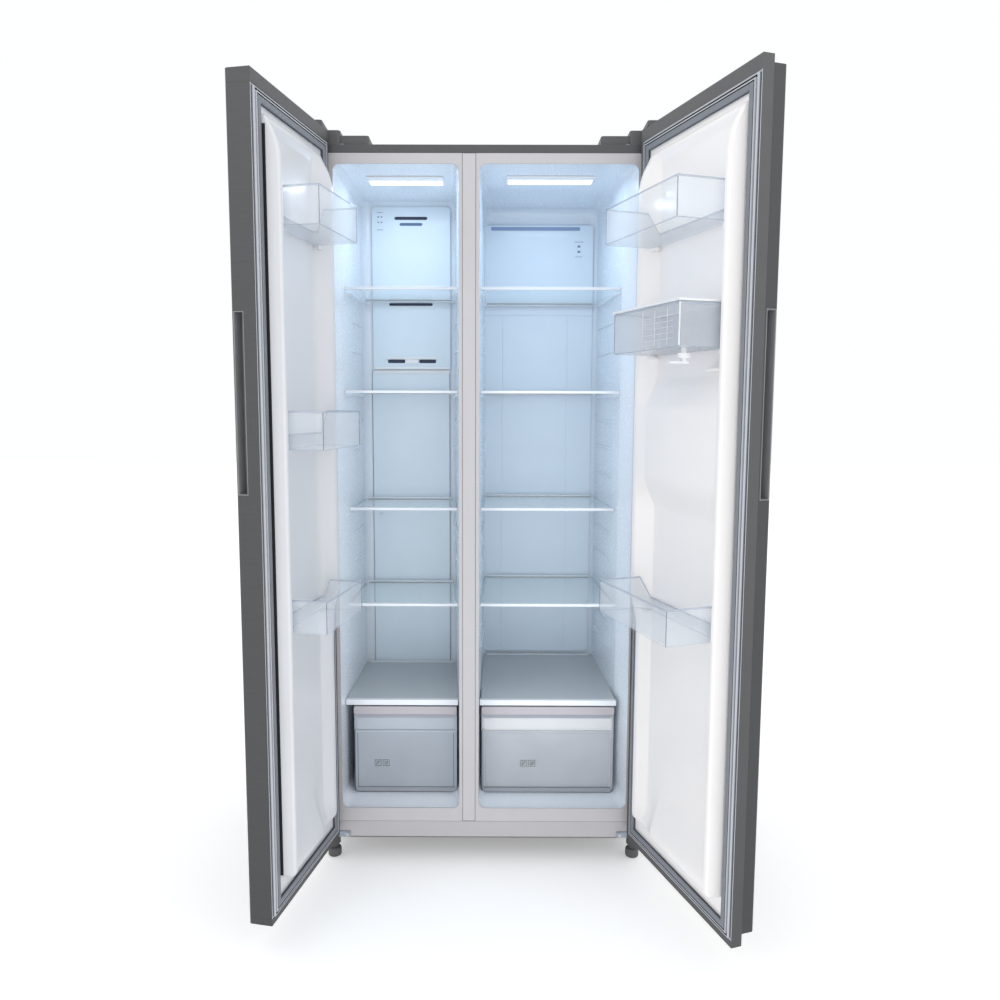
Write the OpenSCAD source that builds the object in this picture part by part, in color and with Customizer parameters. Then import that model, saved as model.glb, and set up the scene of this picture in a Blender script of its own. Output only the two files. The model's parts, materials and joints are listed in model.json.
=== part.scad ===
// Side by side refrigerator with a freezer on the left and a larder on the right.
// Millimetres, +Z up, +Y towards the back. The origin is on the floor, below the
// middle of the cabinet's front edge. The doors are drawn closed and turned open.

/* [Cabinet] */
// Width of the cabinet
cab_w = 820; // [816:1:826]
// Height of the cabinet's top above the floor
cab_top = 1759; // [1757:1:1762]
// Depth of the cabinet behind the door line
cab_d = 566; // [560:1:600]
// Height of the cabinet's underside above the floor
cab_low = 59; // [58:1:60]
// Thickness of the outer steel sheet
sheet = 1.2; // [1:0.1:1.4]
// Thickness of the moulded liners
liner_t = 2; // [1.6:0.2:2.4]

/* [Openings] */
// Left edge of the freezer opening
fz_l = -356.5; // [-358:0.5:-355]
// Right edge of the freezer opening
fz_r = -60.8; // [-62:0.2:-60]
// Left edge of the fridge opening
fr_l = -12.7; // [-13.5:0.1:-12]
// Right edge of the fridge opening
fr_r = 360.4; // [359:0.2:362]
// Lower edge of both openings
op_low = 137; // [136:0.5:138]
// Upper edge of both openings
op_top = 1716; // [1714:0.5:1718]
// Corner radius of both openings
op_r = 17; // [12:1:22]

/* [Shelves] */
// Height of the top shelf
shelf_1 = 1448; // [1440:1:1452]
// Height of the second shelf
shelf_2 = 1190; // [1180:1:1195]
// Height of the third shelf
shelf_3 = 887; // [880:1:895]
// Height of the fourth shelf
shelf_4 = 643; // [636:1:650]
// Height of the drawer covers
shelf_5 = 401; // [399:1:403]
// Thickness of the shelf glass
glass_t = 4; // [3.2:0.4:4.8]

/* [Doors] */
// How far the left door stands open
left_open = 101.56; // [90:0.01:110]
// How far the right door stands open
right_open = 108.21; // [90:0.01:112]
// Free edge of the left door when it is closed
left_free = -39.7; // [-40.5:0.1:-39]
// Free edge of the right door when it is closed
right_free = -33.8; // [-34.5:0.1:-33]
// Underside of the doors
door_low = 76.4; // [75.5:0.1:77]
// Top of the doors
door_top = 1782.6; // [1782:0.1:1783]
// Front face of the doors when closed
door_front = -60; // [-62:0.5:-58]
// Inner face of the doors when closed
door_in = -8; // [-9:0.5:-8]
// Distance of the hinge pins from the door's hinge edge
pivot_in = 18; // [17:0.5:19]
// Distance of the hinge pins in front of the cabinet
pivot_out = 35.6; // [35:0.2:36.4]

/* [Hidden] */
$fn = 48;
half = cab_w / 2;
px = half - pivot_in;
py = -pivot_out;
t = liner_t;
ff = 2.5;                 // thickness of the front frame
dark_low = cab_top - 19;  // lower edge of the top flange
seam = 102;               // joint between the front frame and the bottom rail
shelf_z = [shelf_1, shelf_2, shelf_3, shelf_4, shelf_5];
shelf_y = [112, 100, 140, 95, 55];
room_y = 410;             // front wall of the machine room
room_z = 298;             // ceiling of the machine room
lw = left_free + half;    // width of the left door
rw = half - right_free;   // width of the right door

function lerp(a, b, s) = a + (b - a) * s;
function fzl(y) = lerp(fz_l, -346, (y - ff) / 377.5);
function fzr(y) = lerp(fz_r, -84, (y - ff) / 377.5);
function frl(y) = lerp(fr_l, -4, (y - ff) / 455.5);
function frr(y) = y < 100 ? lerp(fr_r, 342, (y - ff) / (100 - ff)) : lerp(342, 324, (y - 100) / 358);
// the right wall beside the drawer stands a little further out
function fdr(y) = y < 100 ? frr(y) : lerp(342, 333, (y - 100) / 272);

module box(a, b) { translate(a) cube(b - a); }
// a box whose four edges along Y are round
module rbox_y(a, b, r) {
  union() {
    box([a[0] + r, a[1], a[2]], [b[0] - r, b[1], b[2]]);
    box([a[0], a[1], a[2] + r], [b[0], b[1], b[2] - r]);
    for (x = [a[0] + r, b[0] - r], z = [a[2] + r, b[2] - r])
      translate([x, a[1], z]) rotate([-90, 0, 0]) cylinder(r = r, h = b[1] - a[1]);
  }
}
// a box whose two front upright edges are round
module door_block(a, b, r) {
  union() {
    box([a[0] + r, a[1], a[2]], [b[0] - r, b[1], b[2]]);
    box([a[0], a[1] + r, a[2]], [b[0], b[1], b[2]]);
    for (x = [a[0] + r, b[0] - r])
      translate([x, a[1] + r, a[2]]) cylinder(r = r, h = b[2] - a[2]);
  }
}
// a box whose four upright edges are round
module rbox_z(a, b, r) {
  union() {
    box([a[0] + r, a[1], a[2]], [b[0] - r, b[1], b[2]]);
    box([a[0], a[1] + r, a[2]], [b[0], b[1] - r, b[2]]);
    for (x = [a[0] + r, b[0] - r], y = [a[1] + r, b[1] - r])
      translate([x, y, a[2]]) cylinder(r = r, h = b[2] - a[2]);
  }
}
module slab(z0, z1, pts) { translate([0, 0, z0]) linear_extrude(z1 - z0) polygon(pts); }
module both() { children(); mirror([1, 0, 0]) children(); }

// ---------------------------------------------------------------- doors' places
module at_left() {
  translate([-px, py, 0]) rotate([0, 0, -left_open]) translate([px, -py, 0])
    translate([left_free, 0, 0]) mirror([1, 0, 0]) children();
}
module at_right() {
  translate([px, py, 0]) rotate([0, 0, right_open]) translate([-px, -py, 0])
    translate([right_free, 0, 0]) children();
}

// ---------------------------------------------------------------- cabinet
module cabinet_shell() color("#57595b") difference() {
  box([-half, 0, cab_low], [half, cab_d, cab_top]);
  box([-half + sheet, ff, cab_low - 1], [half - sheet, cab_d + 1, cab_top - sheet]);
  box([-half + sheet, -1, cab_low - 1], [half - sheet, ff + 1, dark_low]);
}
module back_panel() color("#9a9c9e") difference() {
  box([-half + sheet + 0.1, cab_d - sheet, room_z + 2], [half - sheet - 0.1, cab_d, cab_top - sheet - 0.1]);
  for (x = [-300 : 100 : 300]) box([x - 6, cab_d - 0.4, 420], [x + 6, cab_d + 1, 1640]);
}
module front_frame() color("#c2bfc4") difference() {
  box([-half + sheet + 0.1, 0, seam + 0.4], [half - sheet - 0.1, ff, dark_low - 0.1]);
  rbox_y([fz_l, -1, op_low], [fz_r, ff + 1, op_top], op_r);
  rbox_y([fr_l, -1, op_low], [fr_r, ff + 1, op_top], op_r);
  box([-53.1, -1, seam], [-20.5, 1.2, dark_low]);
}
module bottom_rail() color("#b9b6bb") difference() {
  box([-half + sheet + 0.1, 0, cab_low + 2.2], [half - sheet - 0.1, ff, seam]);
  both() for (x = [346, 372]) translate([x, -1, 68]) rotate([-90, 0, 0]) cylinder(r = 2.5, h = 5);
}
module mullion_cover() color("#c6c4c9")
  box([-53, 0, seam + 0.5], [-20.6, 1.1, dark_low - 0.1]);
module base_pan() color("#4c4e50") difference() {
  union() {
    box([-half + sheet + 0.1, 0.1, cab_low], [half - sheet - 0.1, cab_d - sheet - 0.1, cab_low + 2]);
    both() {
      translate([383, 22, 34]) cylinder(r = 15, h = cab_low - 34 + 1);
      for (x = [323, 351]) box([x, 498, 12], [x + 4, 542, cab_low + 1]);
    }
  }
  both() {
    translate([383, 22, 20]) cylinder(r = 5.05, h = 60);
    translate([310, 520, 22]) rotate([0, 90, 0]) cylinder(r = 4.06, h = 60);
  }
}
// the space inside the freezer, grown by g
module freezer_space(g) union() {
  intersection() {
    slab(op_low - g, op_top + g, [[fzl(ff) - g, ff], [fzl(380) - g, 380 + g], [fzr(380) + g, 380 + g], [fzr(ff) + g, ff]]);
    rbox_y([fz_l - g - 0.01, ff - 0.5, op_low - g], [fz_r + g + 0.01, 382 + g, op_top + g], op_r + g);
  }
  box([-312 - g, 370, 310 - g], [-105 + g, 455 + g, 1690 + g]);
}
module fridge_space(g) union() {
  intersection() {
    slab(330 - g, op_top + g, [[frl(ff) - g, ff], [frl(458) - g, 458 + g], [frr(458) + g, 458 + g],
      [frr(100) + g, 100], [frr(ff) + g, ff]]);
    rbox_y([fr_l - g - 0.01, ff - 0.5, op_low - g], [fr_r + g + 0.01, 460 + g, op_top + g], op_r + g);
  }
  intersection() {
    slab(op_low - g, 332 + g, [[frl(ff) - g + 0.4, ff], [frl(372) - g + 0.4, 372 + g], [fdr(372) + g, 372 + g],
      [fdr(100) + g - 0.3, 100], [fdr(ff) + g - 0.3, ff]]);
    rbox_y([fr_l - g - 0.01, ff - 0.5, op_low - g], [fr_r + g + 0.01, 374 + g, op_top + g], op_r + g);
  }
}
// ledges along both side walls that the shelves lie on
module ledges(levels, y0, y1, side) for (z = levels) {
  if (side < 0) {
    slab(z - glass_t - 10, z - glass_t, [[fzl(y0) - 1, y0], [fzl(y0) + 8, y0], [fzl(y1) + 8, y1], [fzl(y1) - 1, y1]]);
    slab(z - glass_t - 10, z - glass_t, [[fzr(y0) + 1, y0], [fzr(y0) - 8, y0], [fzr(y1) - 8, y1], [fzr(y1) + 1, y1]]);
  } else {
    slab(z - glass_t - 10, z - glass_t, [[frl(y0) - 1, y0], [frl(y0) + 8, y0], [frl(y1) + 8, y1], [frl(y1) - 1, y1]]);
    slab(z - glass_t - 10, z - glass_t, [[frr(y0) + 1, y0], [frr(y0) - 8, y0], [frr(y1) - 8, y1], [frr(y1) + 1, y1]]);
  }
}
module freezer_liner() color("#e9eef4") union() {
  difference() { freezer_space(t); freezer_space(0); }
  ledges(shelf_z, 160, 365, -1);
  intersection() {
    slab(op_low - 1, 150, [[fzl(45) - 1, 45], [fzr(45) + 1, 45], [fzr(380) + 1, 380.5], [fzl(380) - 1, 380.5]]);
    freezer_space(1);
  }
}
module fridge_liner() color("#e9eef4") union() {
  difference() { fridge_space(t); fridge_space(0); }
  ledges([shelf_1, shelf_2, shelf_3, shelf_4], 160, 440, 1);
  for (z = [shelf_5]) {
    slab(z - glass_t - 10, z - glass_t, [[frl(160) - 1, 160], [frl(160) + 8, 160], [frl(365) + 8, 365], [frl(365) - 1, 365]]);
    slab(z - glass_t - 10, z - glass_t, [[frr(160) + 1, 160], [frr(160) - 6, 160], [frr(365) - 6, 365], [frr(365) + 1, 365]]);
  }
  intersection() {
    slab(op_low - 1, 150, [[frl(45) - 1, 45], [fdr(45) + 1, 45], [fdr(100) + 1, 100], [fdr(372) + 1, 372.5], [frl(372) - 1, 372.5]]);
    fridge_space(1);
  }
}
module cabinet_foam() color("#e8dfb8") difference() {
  box([-half + sheet + 0.1, ff + 0.1, cab_low + 2.1], [half - sheet - 0.1, cab_d - sheet - 0.1, cab_top - sheet - 0.1]);
  box([-half, room_y, 0], [half, cab_d + 1, room_z]);
  translate([0, 0.2, 0]) freezer_space(t + 0.25);
  translate([0, 0.2, 0]) fridge_space(t + 0.25);
  box([fz_l - t - 1, 0, op_low - t - 1], [fz_r + t + 1, 20, op_top + t + 1]);
  box([fr_l - t - 1, 0, op_low - t - 1], [fr_r + t + 1, 20, op_top + t + 1]);
}
// ---------------------------------------------------------------- inside fittings
module freezer_duct_cover() color("#dce8f2") difference() {
  rbox_y([-318.5, 372, 1256], [-99, 379.9, 1705], 12);
  rbox_y([-255, 365, 1669], [-163, 390, 1678], 4.4);
  rbox_y([-241, 365, 1653], [-177, 390, 1661], 3.9);
  rbox_y([-272, 365, 1433], [-149, 390, 1441], 3.9);
  rbox_y([-277, 365, 1273], [-228, 390, 1283], 3);
  rbox_y([-188, 365, 1273], [-140, 390, 1283], 3);
  box([-312, 376, 1262], [-105, 390, 1698]);
}
module freezer_lower_panel() color("#d3e2ec") difference() {
  box([-322, 376, 304], [-102, 379.9, 1252]);
  translate([-300, 365, 842]) rotate([-90, 0, 0]) cylinder(r = 4, h = 30);
  for (z = [316 : 14 : 372]) box([-260, 365, z], [-160, 390, z + 5]);
}
module fridge_duct_cover() color("#dbe9f4") difference() {
  rbox_y([-1, 450, 410], [312, 457.9, 1672], 10);
  rbox_y([15, 440, 1656.5], [273.5, 470, 1667], 5);
  box([48, 449, 420], [50.5, 451.2, 1409]);
  box([238, 449, 420], [240.5, 451.2, 1409]);
  box([-2, 449, 1413], [314, 451.2, 1415.5]);
  box([6, 454, 420], [305, 470, 1664]);
}
module light_covers() color("#ffffff") {
  difference() {
    rbox_z([-294, 105, 1710], [-103, 172, op_top - 0.1], 8);
    rbox_z([-292, 107, 1712], [-105, 170, op_top + 1], 6);
  }
  difference() {
    rbox_z([53, 99, 1710], [271.5, 162, op_top - 0.1], 8);
    rbox_z([55, 101, 1712], [269.5, 160, op_top + 1], 6);
  }
}
module evaporator() color("#c9cdd0") union() {
  for (x = [-300 : 14 : -118]) box([x, 396, 430], [x + 1.2, 446, 760]);
  for (z = [460 : 60 : 730], y = [408, 434]) translate([-306, y, z]) rotate([0, 90, 0]) cylinder(r = 4, h = 196);
}
module fan_motors() color("#2f3133") {
  // evaporator fan motor with its shaft and its back plate
  union() {
    translate([-208, 436, 1330]) rotate([-90, 0, 0]) cylinder(r = 20, h = 18.9);
    translate([-208, 414, 1330]) rotate([-90, 0, 0]) cylinder(r = 2.5, h = 24);
  }
  // condenser fan motor on its post
  union() {
    translate([140, 487, 160]) rotate([0, -90, 0]) cylinder(r = 20, h = 26);
    translate([118, 487, 160]) rotate([0, -90, 0]) cylinder(r = 2.5, h = 24);
    box([118, 480, 61], [138, 494, 160]);
  }
}
module fan(r, w) difference() {
  union() {
    cylinder(r = r * 0.32, h = w);
    for (a = [0 : 72 : 359]) rotate([0, 0, a]) translate([0, 0, w / 2]) rotate([28, 0, 0])
      translate([r * 0.2, -r * 0.16, -0.9]) cube([r * 0.78, r * 0.42, 1.8]);
  }
  translate([0, 0, -30]) cylinder(r = 2.55, h = 60);
}
module evaporator_fan() color("#3c3f42") translate([-208, 416, 1330]) rotate([-90, 0, 0]) fan(48, 16);
module condenser_fan() color("#3c3f42") translate([112, 487, 160]) rotate([0, -90, 0]) fan(56, 14);
module compressor() color("#1f2122") union() {
  translate([250, 487, 76]) rotate_extrude() polygon([[0, 0], [58, 0], [66, 14], [68, 60], [68, 64], [72, 64], [72, 70], [68, 70], [66, 118], [52, 140], [30, 148], [0, 150]]);
  for (x = [190, 310], y = [440, 534]) translate([x, y, cab_low + 2]) cylinder(r = 11, h = 14);
  box([176, 428, 75], [324, 546, 79]);
  translate([250, 487, 220]) cylinder(r = 4, h = 30);
  box([316, 470, 110], [340, 506, 160]);
}
module condenser() color("#6d6f71") union() {
  for (x = [-120 : 12 : 60]) box([x, 440, 95], [x + 1, 540, 230]);
  for (z = [110 : 35 : 215], y = [460, 520]) translate([-126, y, z]) rotate([0, 90, 0]) cylinder(r = 4, h = 194);
}
module drain_pan() color("#d6d6d2") difference() {
  box([-150, 425, cab_low + 2], [80, 556, 90]);
  box([-148, 427, cab_low + 4], [78, 554, 91]);
}
module machine_cover() color("#55585a") difference() {
  box([-half + sheet + 0.1, cab_d - sheet, cab_low + 2.1], [half - sheet - 0.1, cab_d, room_z + 1.8]);
  for (x = [-330, -150, 30, 210], z = [96 : 20 : 256]) rbox_y([x, cab_d - 3, z], [x + 110, cab_d + 1, z + 7], 3.4);
  rbox_y([348, cab_d - 3, 118], [384, cab_d + 1, 146], 4);
}
module power_inlet() color("#1d1e1f") difference() {
  union() {
    rbox_y([349, cab_d - 20, 119], [383, cab_d + 0.1, 145], 4);
    rbox_y([344, cab_d, 114], [388, cab_d + 3, 150], 4);
  }
  rbox_y([354, cab_d - 16, 124], [378, cab_d + 4, 140], 3);
}
module top_hinges() color("#8b8d8f") both() difference() {
  union() {
    box([px - 62, 6, cab_top], [px + 12, 96, cab_top + 3]);
    box([px - 14, 3, cab_top], [px + 12, 6, cab_top + 28.6]);
    box([px - 14, py - 12, cab_top + 25.6], [px + 12, 6, cab_top + 28.6]);
    translate([px, py, 1768.5]) cylinder(r = 5, h = cab_top + 26 - 1768.5);
  }
  for (p = [[px - 48, 24], [px - 48, 78], [px, 60]]) translate([p[0], p[1], cab_top - 1]) cylinder(r = 3, h = 6);
}
module lower_hinges() color("#a3a5a8") both() difference() {
  union() {
    box([px - 54, -3, 61], [px + 10, -0.05, 75.4]);
    box([px - 14, py - 12, 69], [px + 10, -1, 72.4]);
    translate([px, py, 70]) cylinder(r = 5, h = 20.5);
  }
  for (x = [346, 372]) translate([x, -5, 68]) rotate([-90, 0, 0]) cylinder(r = 2.5, h = 7);
}
module hinge_covers() color("#5a5c5e") both() difference() {
  union() {
    rbox_z([272, 8, cab_top], [346, 108, 1781], 7);
    rbox_z([338, 0.6, cab_top], [409, 114, 1791], 7);
    rbox_z([368, -58, 1784.2], [411, 20, 1795], 6);
  }
  box([276, 12, cab_top - 1], [343, 104, 1778]);
  box([328, 5, cab_top - 1], [346, 14, cab_top + 3.3]);
  box([342, 2.4, cab_top - 1], [405, 110, 1788]);
  rbox_z([371, -55, 1784], [408, 20, 1792], 4);
  box([371, -3, cab_top - 1], [408, 4, 1788]);
}
module screw_head(r, h) difference() {
  cylinder(r = r, h = h);
  translate([-0.6, -r * 0.7, h - 1]) cube([1.2, r * 1.4, 2]);
  translate([-r * 0.7, -0.6, h - 1]) cube([r * 1.4, 1.2, 2]);
}
module screws() color("#b5b7b9") both() {
  for (p = [[px - 48, 24], [px - 48, 78], [px, 60]]) {
    translate([p[0], p[1], cab_top + 3]) screw_head(5.5, 3.4);
  }
  for (x = [346, 372]) translate([x, -3, 68]) rotate([90, 0, 0]) screw_head(4.4, 2.4);
  for (x = [120, 395], z = [80, 284]) translate([x, cab_d, z]) rotate([-90, 0, 0]) screw_head(4.2, 2.2);
}
module foot() union() {
  rotate_extrude() polygon([[0, 0], [14, 0], [16, 1.4], [17, 4], [17, 17], [15, 22], [9, 25], [9, 31], [0, 31]]);
  cylinder(r = 5, h = cab_low + 1.6);
}
module left_foot() color("#4a4c4e") translate([-383, 22, 0]) foot();
module right_foot() color("#4a4c4e") translate([383, 22, 0]) foot();
module roller() rotate([0, 90, 0]) difference() {
  union() {
    cylinder(r = 21, h = 20);
    translate([0, 0, 2]) cylinder(r = 22, h = 16);
  }
  translate([0, 0, -1]) cylinder(r = 4.05, h = 22);
}
module left_roller() color("#33353a") translate([-349, 520, 22]) roller();
module right_roller() color("#33353a") translate([329, 520, 22]) roller();
module roller_axles() color("#a9abad") both()
  translate([320, 520, 22]) rotate([0, 90, 0]) union() {
    cylinder(r = 4, h = 38);
    translate([0, 0, -2]) cylinder(r = 6, h = 5 - 0.05);
  }

// ---------------------------------------------------------------- shelves
module freezer_glass(i) {
  z = shelf_z[i]; y0 = shelf_y[i] + 3; y1 = 366; c = 1.5;
  slab(z - glass_t, z, [[fzl(y0) + c, y0], [fzr(y0) - c, y0], [fzr(y1) - c, y1], [fzl(y1) + c, y1]]);
}
module fridge_glass(i) {
  z = shelf_z[i]; y0 = shelf_y[i] + 3; y1 = i == 4 ? 442 : 444; c = 1.5;
  slab(z - glass_t, z, [[frl(y0) + c, y0], [min(frr(y0), 342) - c, y0], [min(frr(100), frr(y0)) - c, max(y0 + 1, 100)], [frr(y1) - c, y1], [frl(y1) + c, y1]]);
}
// a strip round the front edge of a shelf's glass, low below it
module trim(x0, x1, y, z, low) difference() {
  box([x0, y - 5, z - low], [x1, y + 7, z + 1.2]);
  box([x0 - 1, y + 3 - 0.05, z - glass_t - 0.05], [x1 + 1, y + 8, z + 0.05]);
  if (low > 8) box([x0 - 1, y - 2, z - low - 1], [x1 + 1, y + 8, z - glass_t - 1.8]);
}
function trim_low(i) = i == 4 ? 13 : 5.6;
// a rail along the rear edge of a shelf's glass
module rail(x0, x1, y, z) difference() {
  box([x0, y - 8, z - 6], [x1, y + 2, z + 3]);
  box([x0 - 1, y - 9, z - glass_t - 0.05], [x1 + 1, y + 0.05, z + 0.05]);
}
module freezer_shelves() color([0.75, 0.9, 0.93, 0.4]) for (i = [0 : 4]) freezer_glass(i);
module fridge_shelves() color([0.75, 0.9, 0.93, 0.4]) for (i = [0 : 4]) fridge_glass(i);
module freezer_shelf_trims() color("#e6eaee") for (i = [0 : 4]) {
  trim(fzl(shelf_y[i]) + 1.6, fzr(shelf_y[i] + 7) - 1.6, shelf_y[i], shelf_z[i], trim_low(i));
  rail(fzl(368) + 9, fzr(368) - 9, 366, shelf_z[i]);
}
module fridge_shelf_trims() color("#e6eaee") for (i = [0 : 4]) {
  trim(frl(shelf_y[i] - 5) + 1.6, min(frr(shelf_y[i] + 7), 341.5) - 1.6, shelf_y[i], shelf_z[i], trim_low(i));
  rail(frl(446) + 9, frr(446) - 9, i == 4 ? 442 : 444, shelf_z[i]);
}

// ---------------------------------------------------------------- drawers
module drawer(xf0, xf1, xb0, xb1, z0, z1, y0, y1) {
  difference() {
    union() {
      rbox_y([xf0, y0, z0], [xf1, y0 + 6, z1], 8);
      slab(z0, z1 - 12, [[xf0 + 3, y0 + 5], [xf1 - 3, y0 + 5], [xb1, y1], [xb0, y1]]);
      // a lip along the top of the front for the fingers
      box([xf0 + 12, y0 - 10, z1 - 40], [xf1 - 12, y0 + 1, z1 - 36]);
    }
    slab(z0 + 3, z1 + 1, [[xf0 + 6, y0 + 6], [xf1 - 6, y0 + 6], [xb1 - 3, y1 - 3], [xb0 + 3, y1 - 3]]);
  }
}
module freezer_drawer() color([0.7, 0.76, 0.82, 0.6]) drawer(-335, -69, -332, -88, 151, 384, 59, 350);
module fridge_drawer() color([0.7, 0.76, 0.82, 0.6]) drawer(-6, 336, -2, 324, 151, 384, 59, 350);

// ---------------------------------------------------------------- door parts, from the free edge (u = 0) to the hinge edge (u = w)
g_free = 4.5; g_hinge = 19.5; g_top = 32.5; g_low = 19.4; g_w = 25;
flange_low = 92; flange_top = 1754;
left_ridge = 58; right_ridge = 54;
pocket_low = 979; pocket_top = 1333;
module gasket(w) difference() {
  union() {
    box([g_free, door_in, door_low + g_low], [w - g_hinge, -0.3, door_top - g_top]);
  }
  box([g_free + g_w, door_in - 1, door_low + g_low + g_w], [w - g_hinge - g_w, 1, door_top - g_top - g_w]);
  // the bellows groove on the outside of the magnet tube
  difference() {
    box([g_free - 1, -5.5, door_low + g_low - 1], [w - g_hinge + 1, -3.5, door_top - g_top + 1]);
    box([g_free + 3, -6, door_low + g_low + 3], [w - g_hinge - 3, -3, door_top - g_top - 3]);
  }
}
// the raised form of the door liner, shrunk by g; hi is the height of its ridge
module ridge_profile(w, hi, g, u0, u1) translate([u0, 0, 0]) rotate([90, 0, 90]) linear_extrude(u1 - u0)
  polygon([[-40, 160 + g], [hi - 6 - g, 160 + g], [hi - g, 166 + g], [hi - g, 1610 - g], [hi - 3 - g, 1645 - g],
    [hi - 13 - g, 1676 - g], [hi - 25 - g, 1696 - g], [hi - 33 - g, 1704 - g], [-8 - g, 1711 - g], [-40, 1711 - g]]);
// e is the distance of the ridge's foot from the hinge edge
module liner_hump(w, hi, e, g) union() {
  // floor of the recess
  box([38 + g, -20, 160 + g], [w - e - 13 - g, -2 - g, 1704 - g]);
  intersection() {
    slab(150, 1720, [[34 + g, -20], [34 + g, -8], [37 + g, hi - 3 - g], [39 + g, hi - g], [48 - g, hi - g], [50 - g, hi - 3 - g], [56 - g, -20]]);
    ridge_profile(w, hi, g, 20, 80);
  }
  intersection() {
    slab(690 + g, 1720, [[w - e - 57 + g, -20], [w - e - 57 + g, -2 - g], [w - e - 21 + g, hi - g], [w - e - 8 - g, hi - g], [w - e - 5 - g, hi - 4 - g], [w - e - g, -8], [w - e - g, -20]]);
    ridge_profile(w, hi, g, w - e - 63, w - e + 7);
  }
  slab(160 + g, 695, [[w - e - 57 + g, -20], [w - e - 57 + g, -2 - g], [w - e - 23 + g, 15 - g], [w - e - 10 - g, 15 - g], [w - e - 7 - g, 12 - g], [w - e - g, -8], [w - e - g, -20]]);
  // the slope at the bottom of the recess
  translate([40 + g, 0, 0]) rotate([90, 0, 90]) linear_extrude(w - e - 59 - 40 - 2 * g)
    polygon([[-20, 160 + g], [hi - 10 - g, 160 + g], [hi - 4 - g, 166 + g], [hi - 4 - g, 196 - g], [-2 - g, 290 - g], [-20, 290 - g]]);
}
module liner_plate(w) box([g_free - 0.5, -10, flange_low], [w - 18, door_in, flange_top]);
// small lugs on both ridges that carry a bin whose underside is at z
module lugs(w, e, levels, u0, u1) for (z = levels) {
  box([48, 3, z - 9], [u0 + 9, 22, z - 0.4]);
  box([u1 - 9, 3, z - 9], [w - e - 36, 16, z - 0.4]);
}
module door_liner(w, hi, e) union() {
  difference() {
    union() { liner_plate(w); liner_hump(w, hi, e, 0); }
    liner_hump(w, hi, e, t);
    box([0, -60, 0], [w, -10, 2000]);
  }
  difference() { lugs(w, e, [1504, 1064, 686], 57.4, lw - 107); liner_hump(w, hi, e, 1); }
}
module pocket(g, u, y0, y1) box([-1, y0 - g, pocket_low - g], [u + g, y1 + g, pocket_top + g]);
// an open tray in plan pts, with walls of 2.2
module bin(pts, ins, z0, z1, back) difference() {
  slab(z0, z1, pts);
  slab(z0 + 2.2, z1 + 1, ins);
  box([-10, -20, z0 + back], [600, ins[0][1] + 6, z1 + 1]);
}

module left_door_skin() color("#5f6163") at_left() difference() {
  door_block([0, door_front, flange_low - 1], [lw, door_in, flange_top + 1], 6);
  door_block([1, door_front + 1, flange_low - 2], [lw - 1, door_in - 1, flange_top + 2], 5);
  box([g_free - 0.6, door_in - 2, flange_low - 2], [lw - 17.9, door_in + 1, flange_top + 2]);
  pocket(2.05, 30, -54, -36);
}
module left_door_caps() color("#6c6e70") at_left() {
  difference() {
    door_block([0, door_front, flange_top + 1.1], [lw, door_in, door_top], 6);
    translate([lw - pivot_in, py, 1700]) cylinder(r = 5.05, h = 100);
    box([14, door_front + 10, flange_top], [lw - 40, door_in - 10, door_top - 4]);
  }
  difference() {
    door_block([0, door_front, door_low], [lw, door_in, flange_low - 1.1], 6);
    translate([lw - pivot_in, py, 60]) cylinder(r = 5.05, h = 100);
    box([14, door_front + 10, door_low + 4], [lw - 40, door_in - 10, flange_low]);
  }
}
module left_door_liner() color("#d9dde2") at_left() door_liner(lw, 30, left_ridge);
module left_door_gasket() color("#9ea5ae") at_left() gasket(lw);
module left_door_foam() color("#e8dfb8") at_left() difference() {
  union() {
    door_block([1.1, door_front + 1.1, flange_low - 0.9], [lw - 1.1, -10.1, flange_top + 0.9], 6);
    intersection() { liner_hump(lw, 30, left_ridge, t + 0.1); box([0, -12, 0], [lw, 60, 2000]); }
  }
  pocket(2.1, 30, -54, -36);
  translate([lw - pivot_in, py, flange_low - 5]) cylinder(r = 7, h = 30);
  translate([lw - pivot_in, py, flange_top - 5]) cylinder(r = 7, h = 30);
}
module handle_insert(y0, y1) difference() {
  pocket(2, 30, y0, y1);
  pocket(0, 30, y0, y1);
  box([-5, -100, 0], [0, 0, 2000]);
}
module left_door_handle() color("#44464a") at_left() handle_insert(-54, -36);
module left_bin(z0, z1) at_left() bin(
  [[57.4, 0], [lw - 114, 0], [lw - 107, 6.8], [lw - 107, 102], [57.4, 102]],
  [[59.6, 2.2], [lw - 115, 2.2], [lw - 109.2, 7.8], [lw - 109.2, 99.8], [59.6, 99.8]], z0, z1, 30);
module left_bin_top() color([0.85, 0.9, 0.95, 0.45]) left_bin(1504, 1581);
module left_bin_middle() color([0.85, 0.9, 0.95, 0.45]) left_bin(1064, 1143);
module left_bin_bottom() color([0.85, 0.9, 0.95, 0.45]) left_bin(686, 757);

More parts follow.
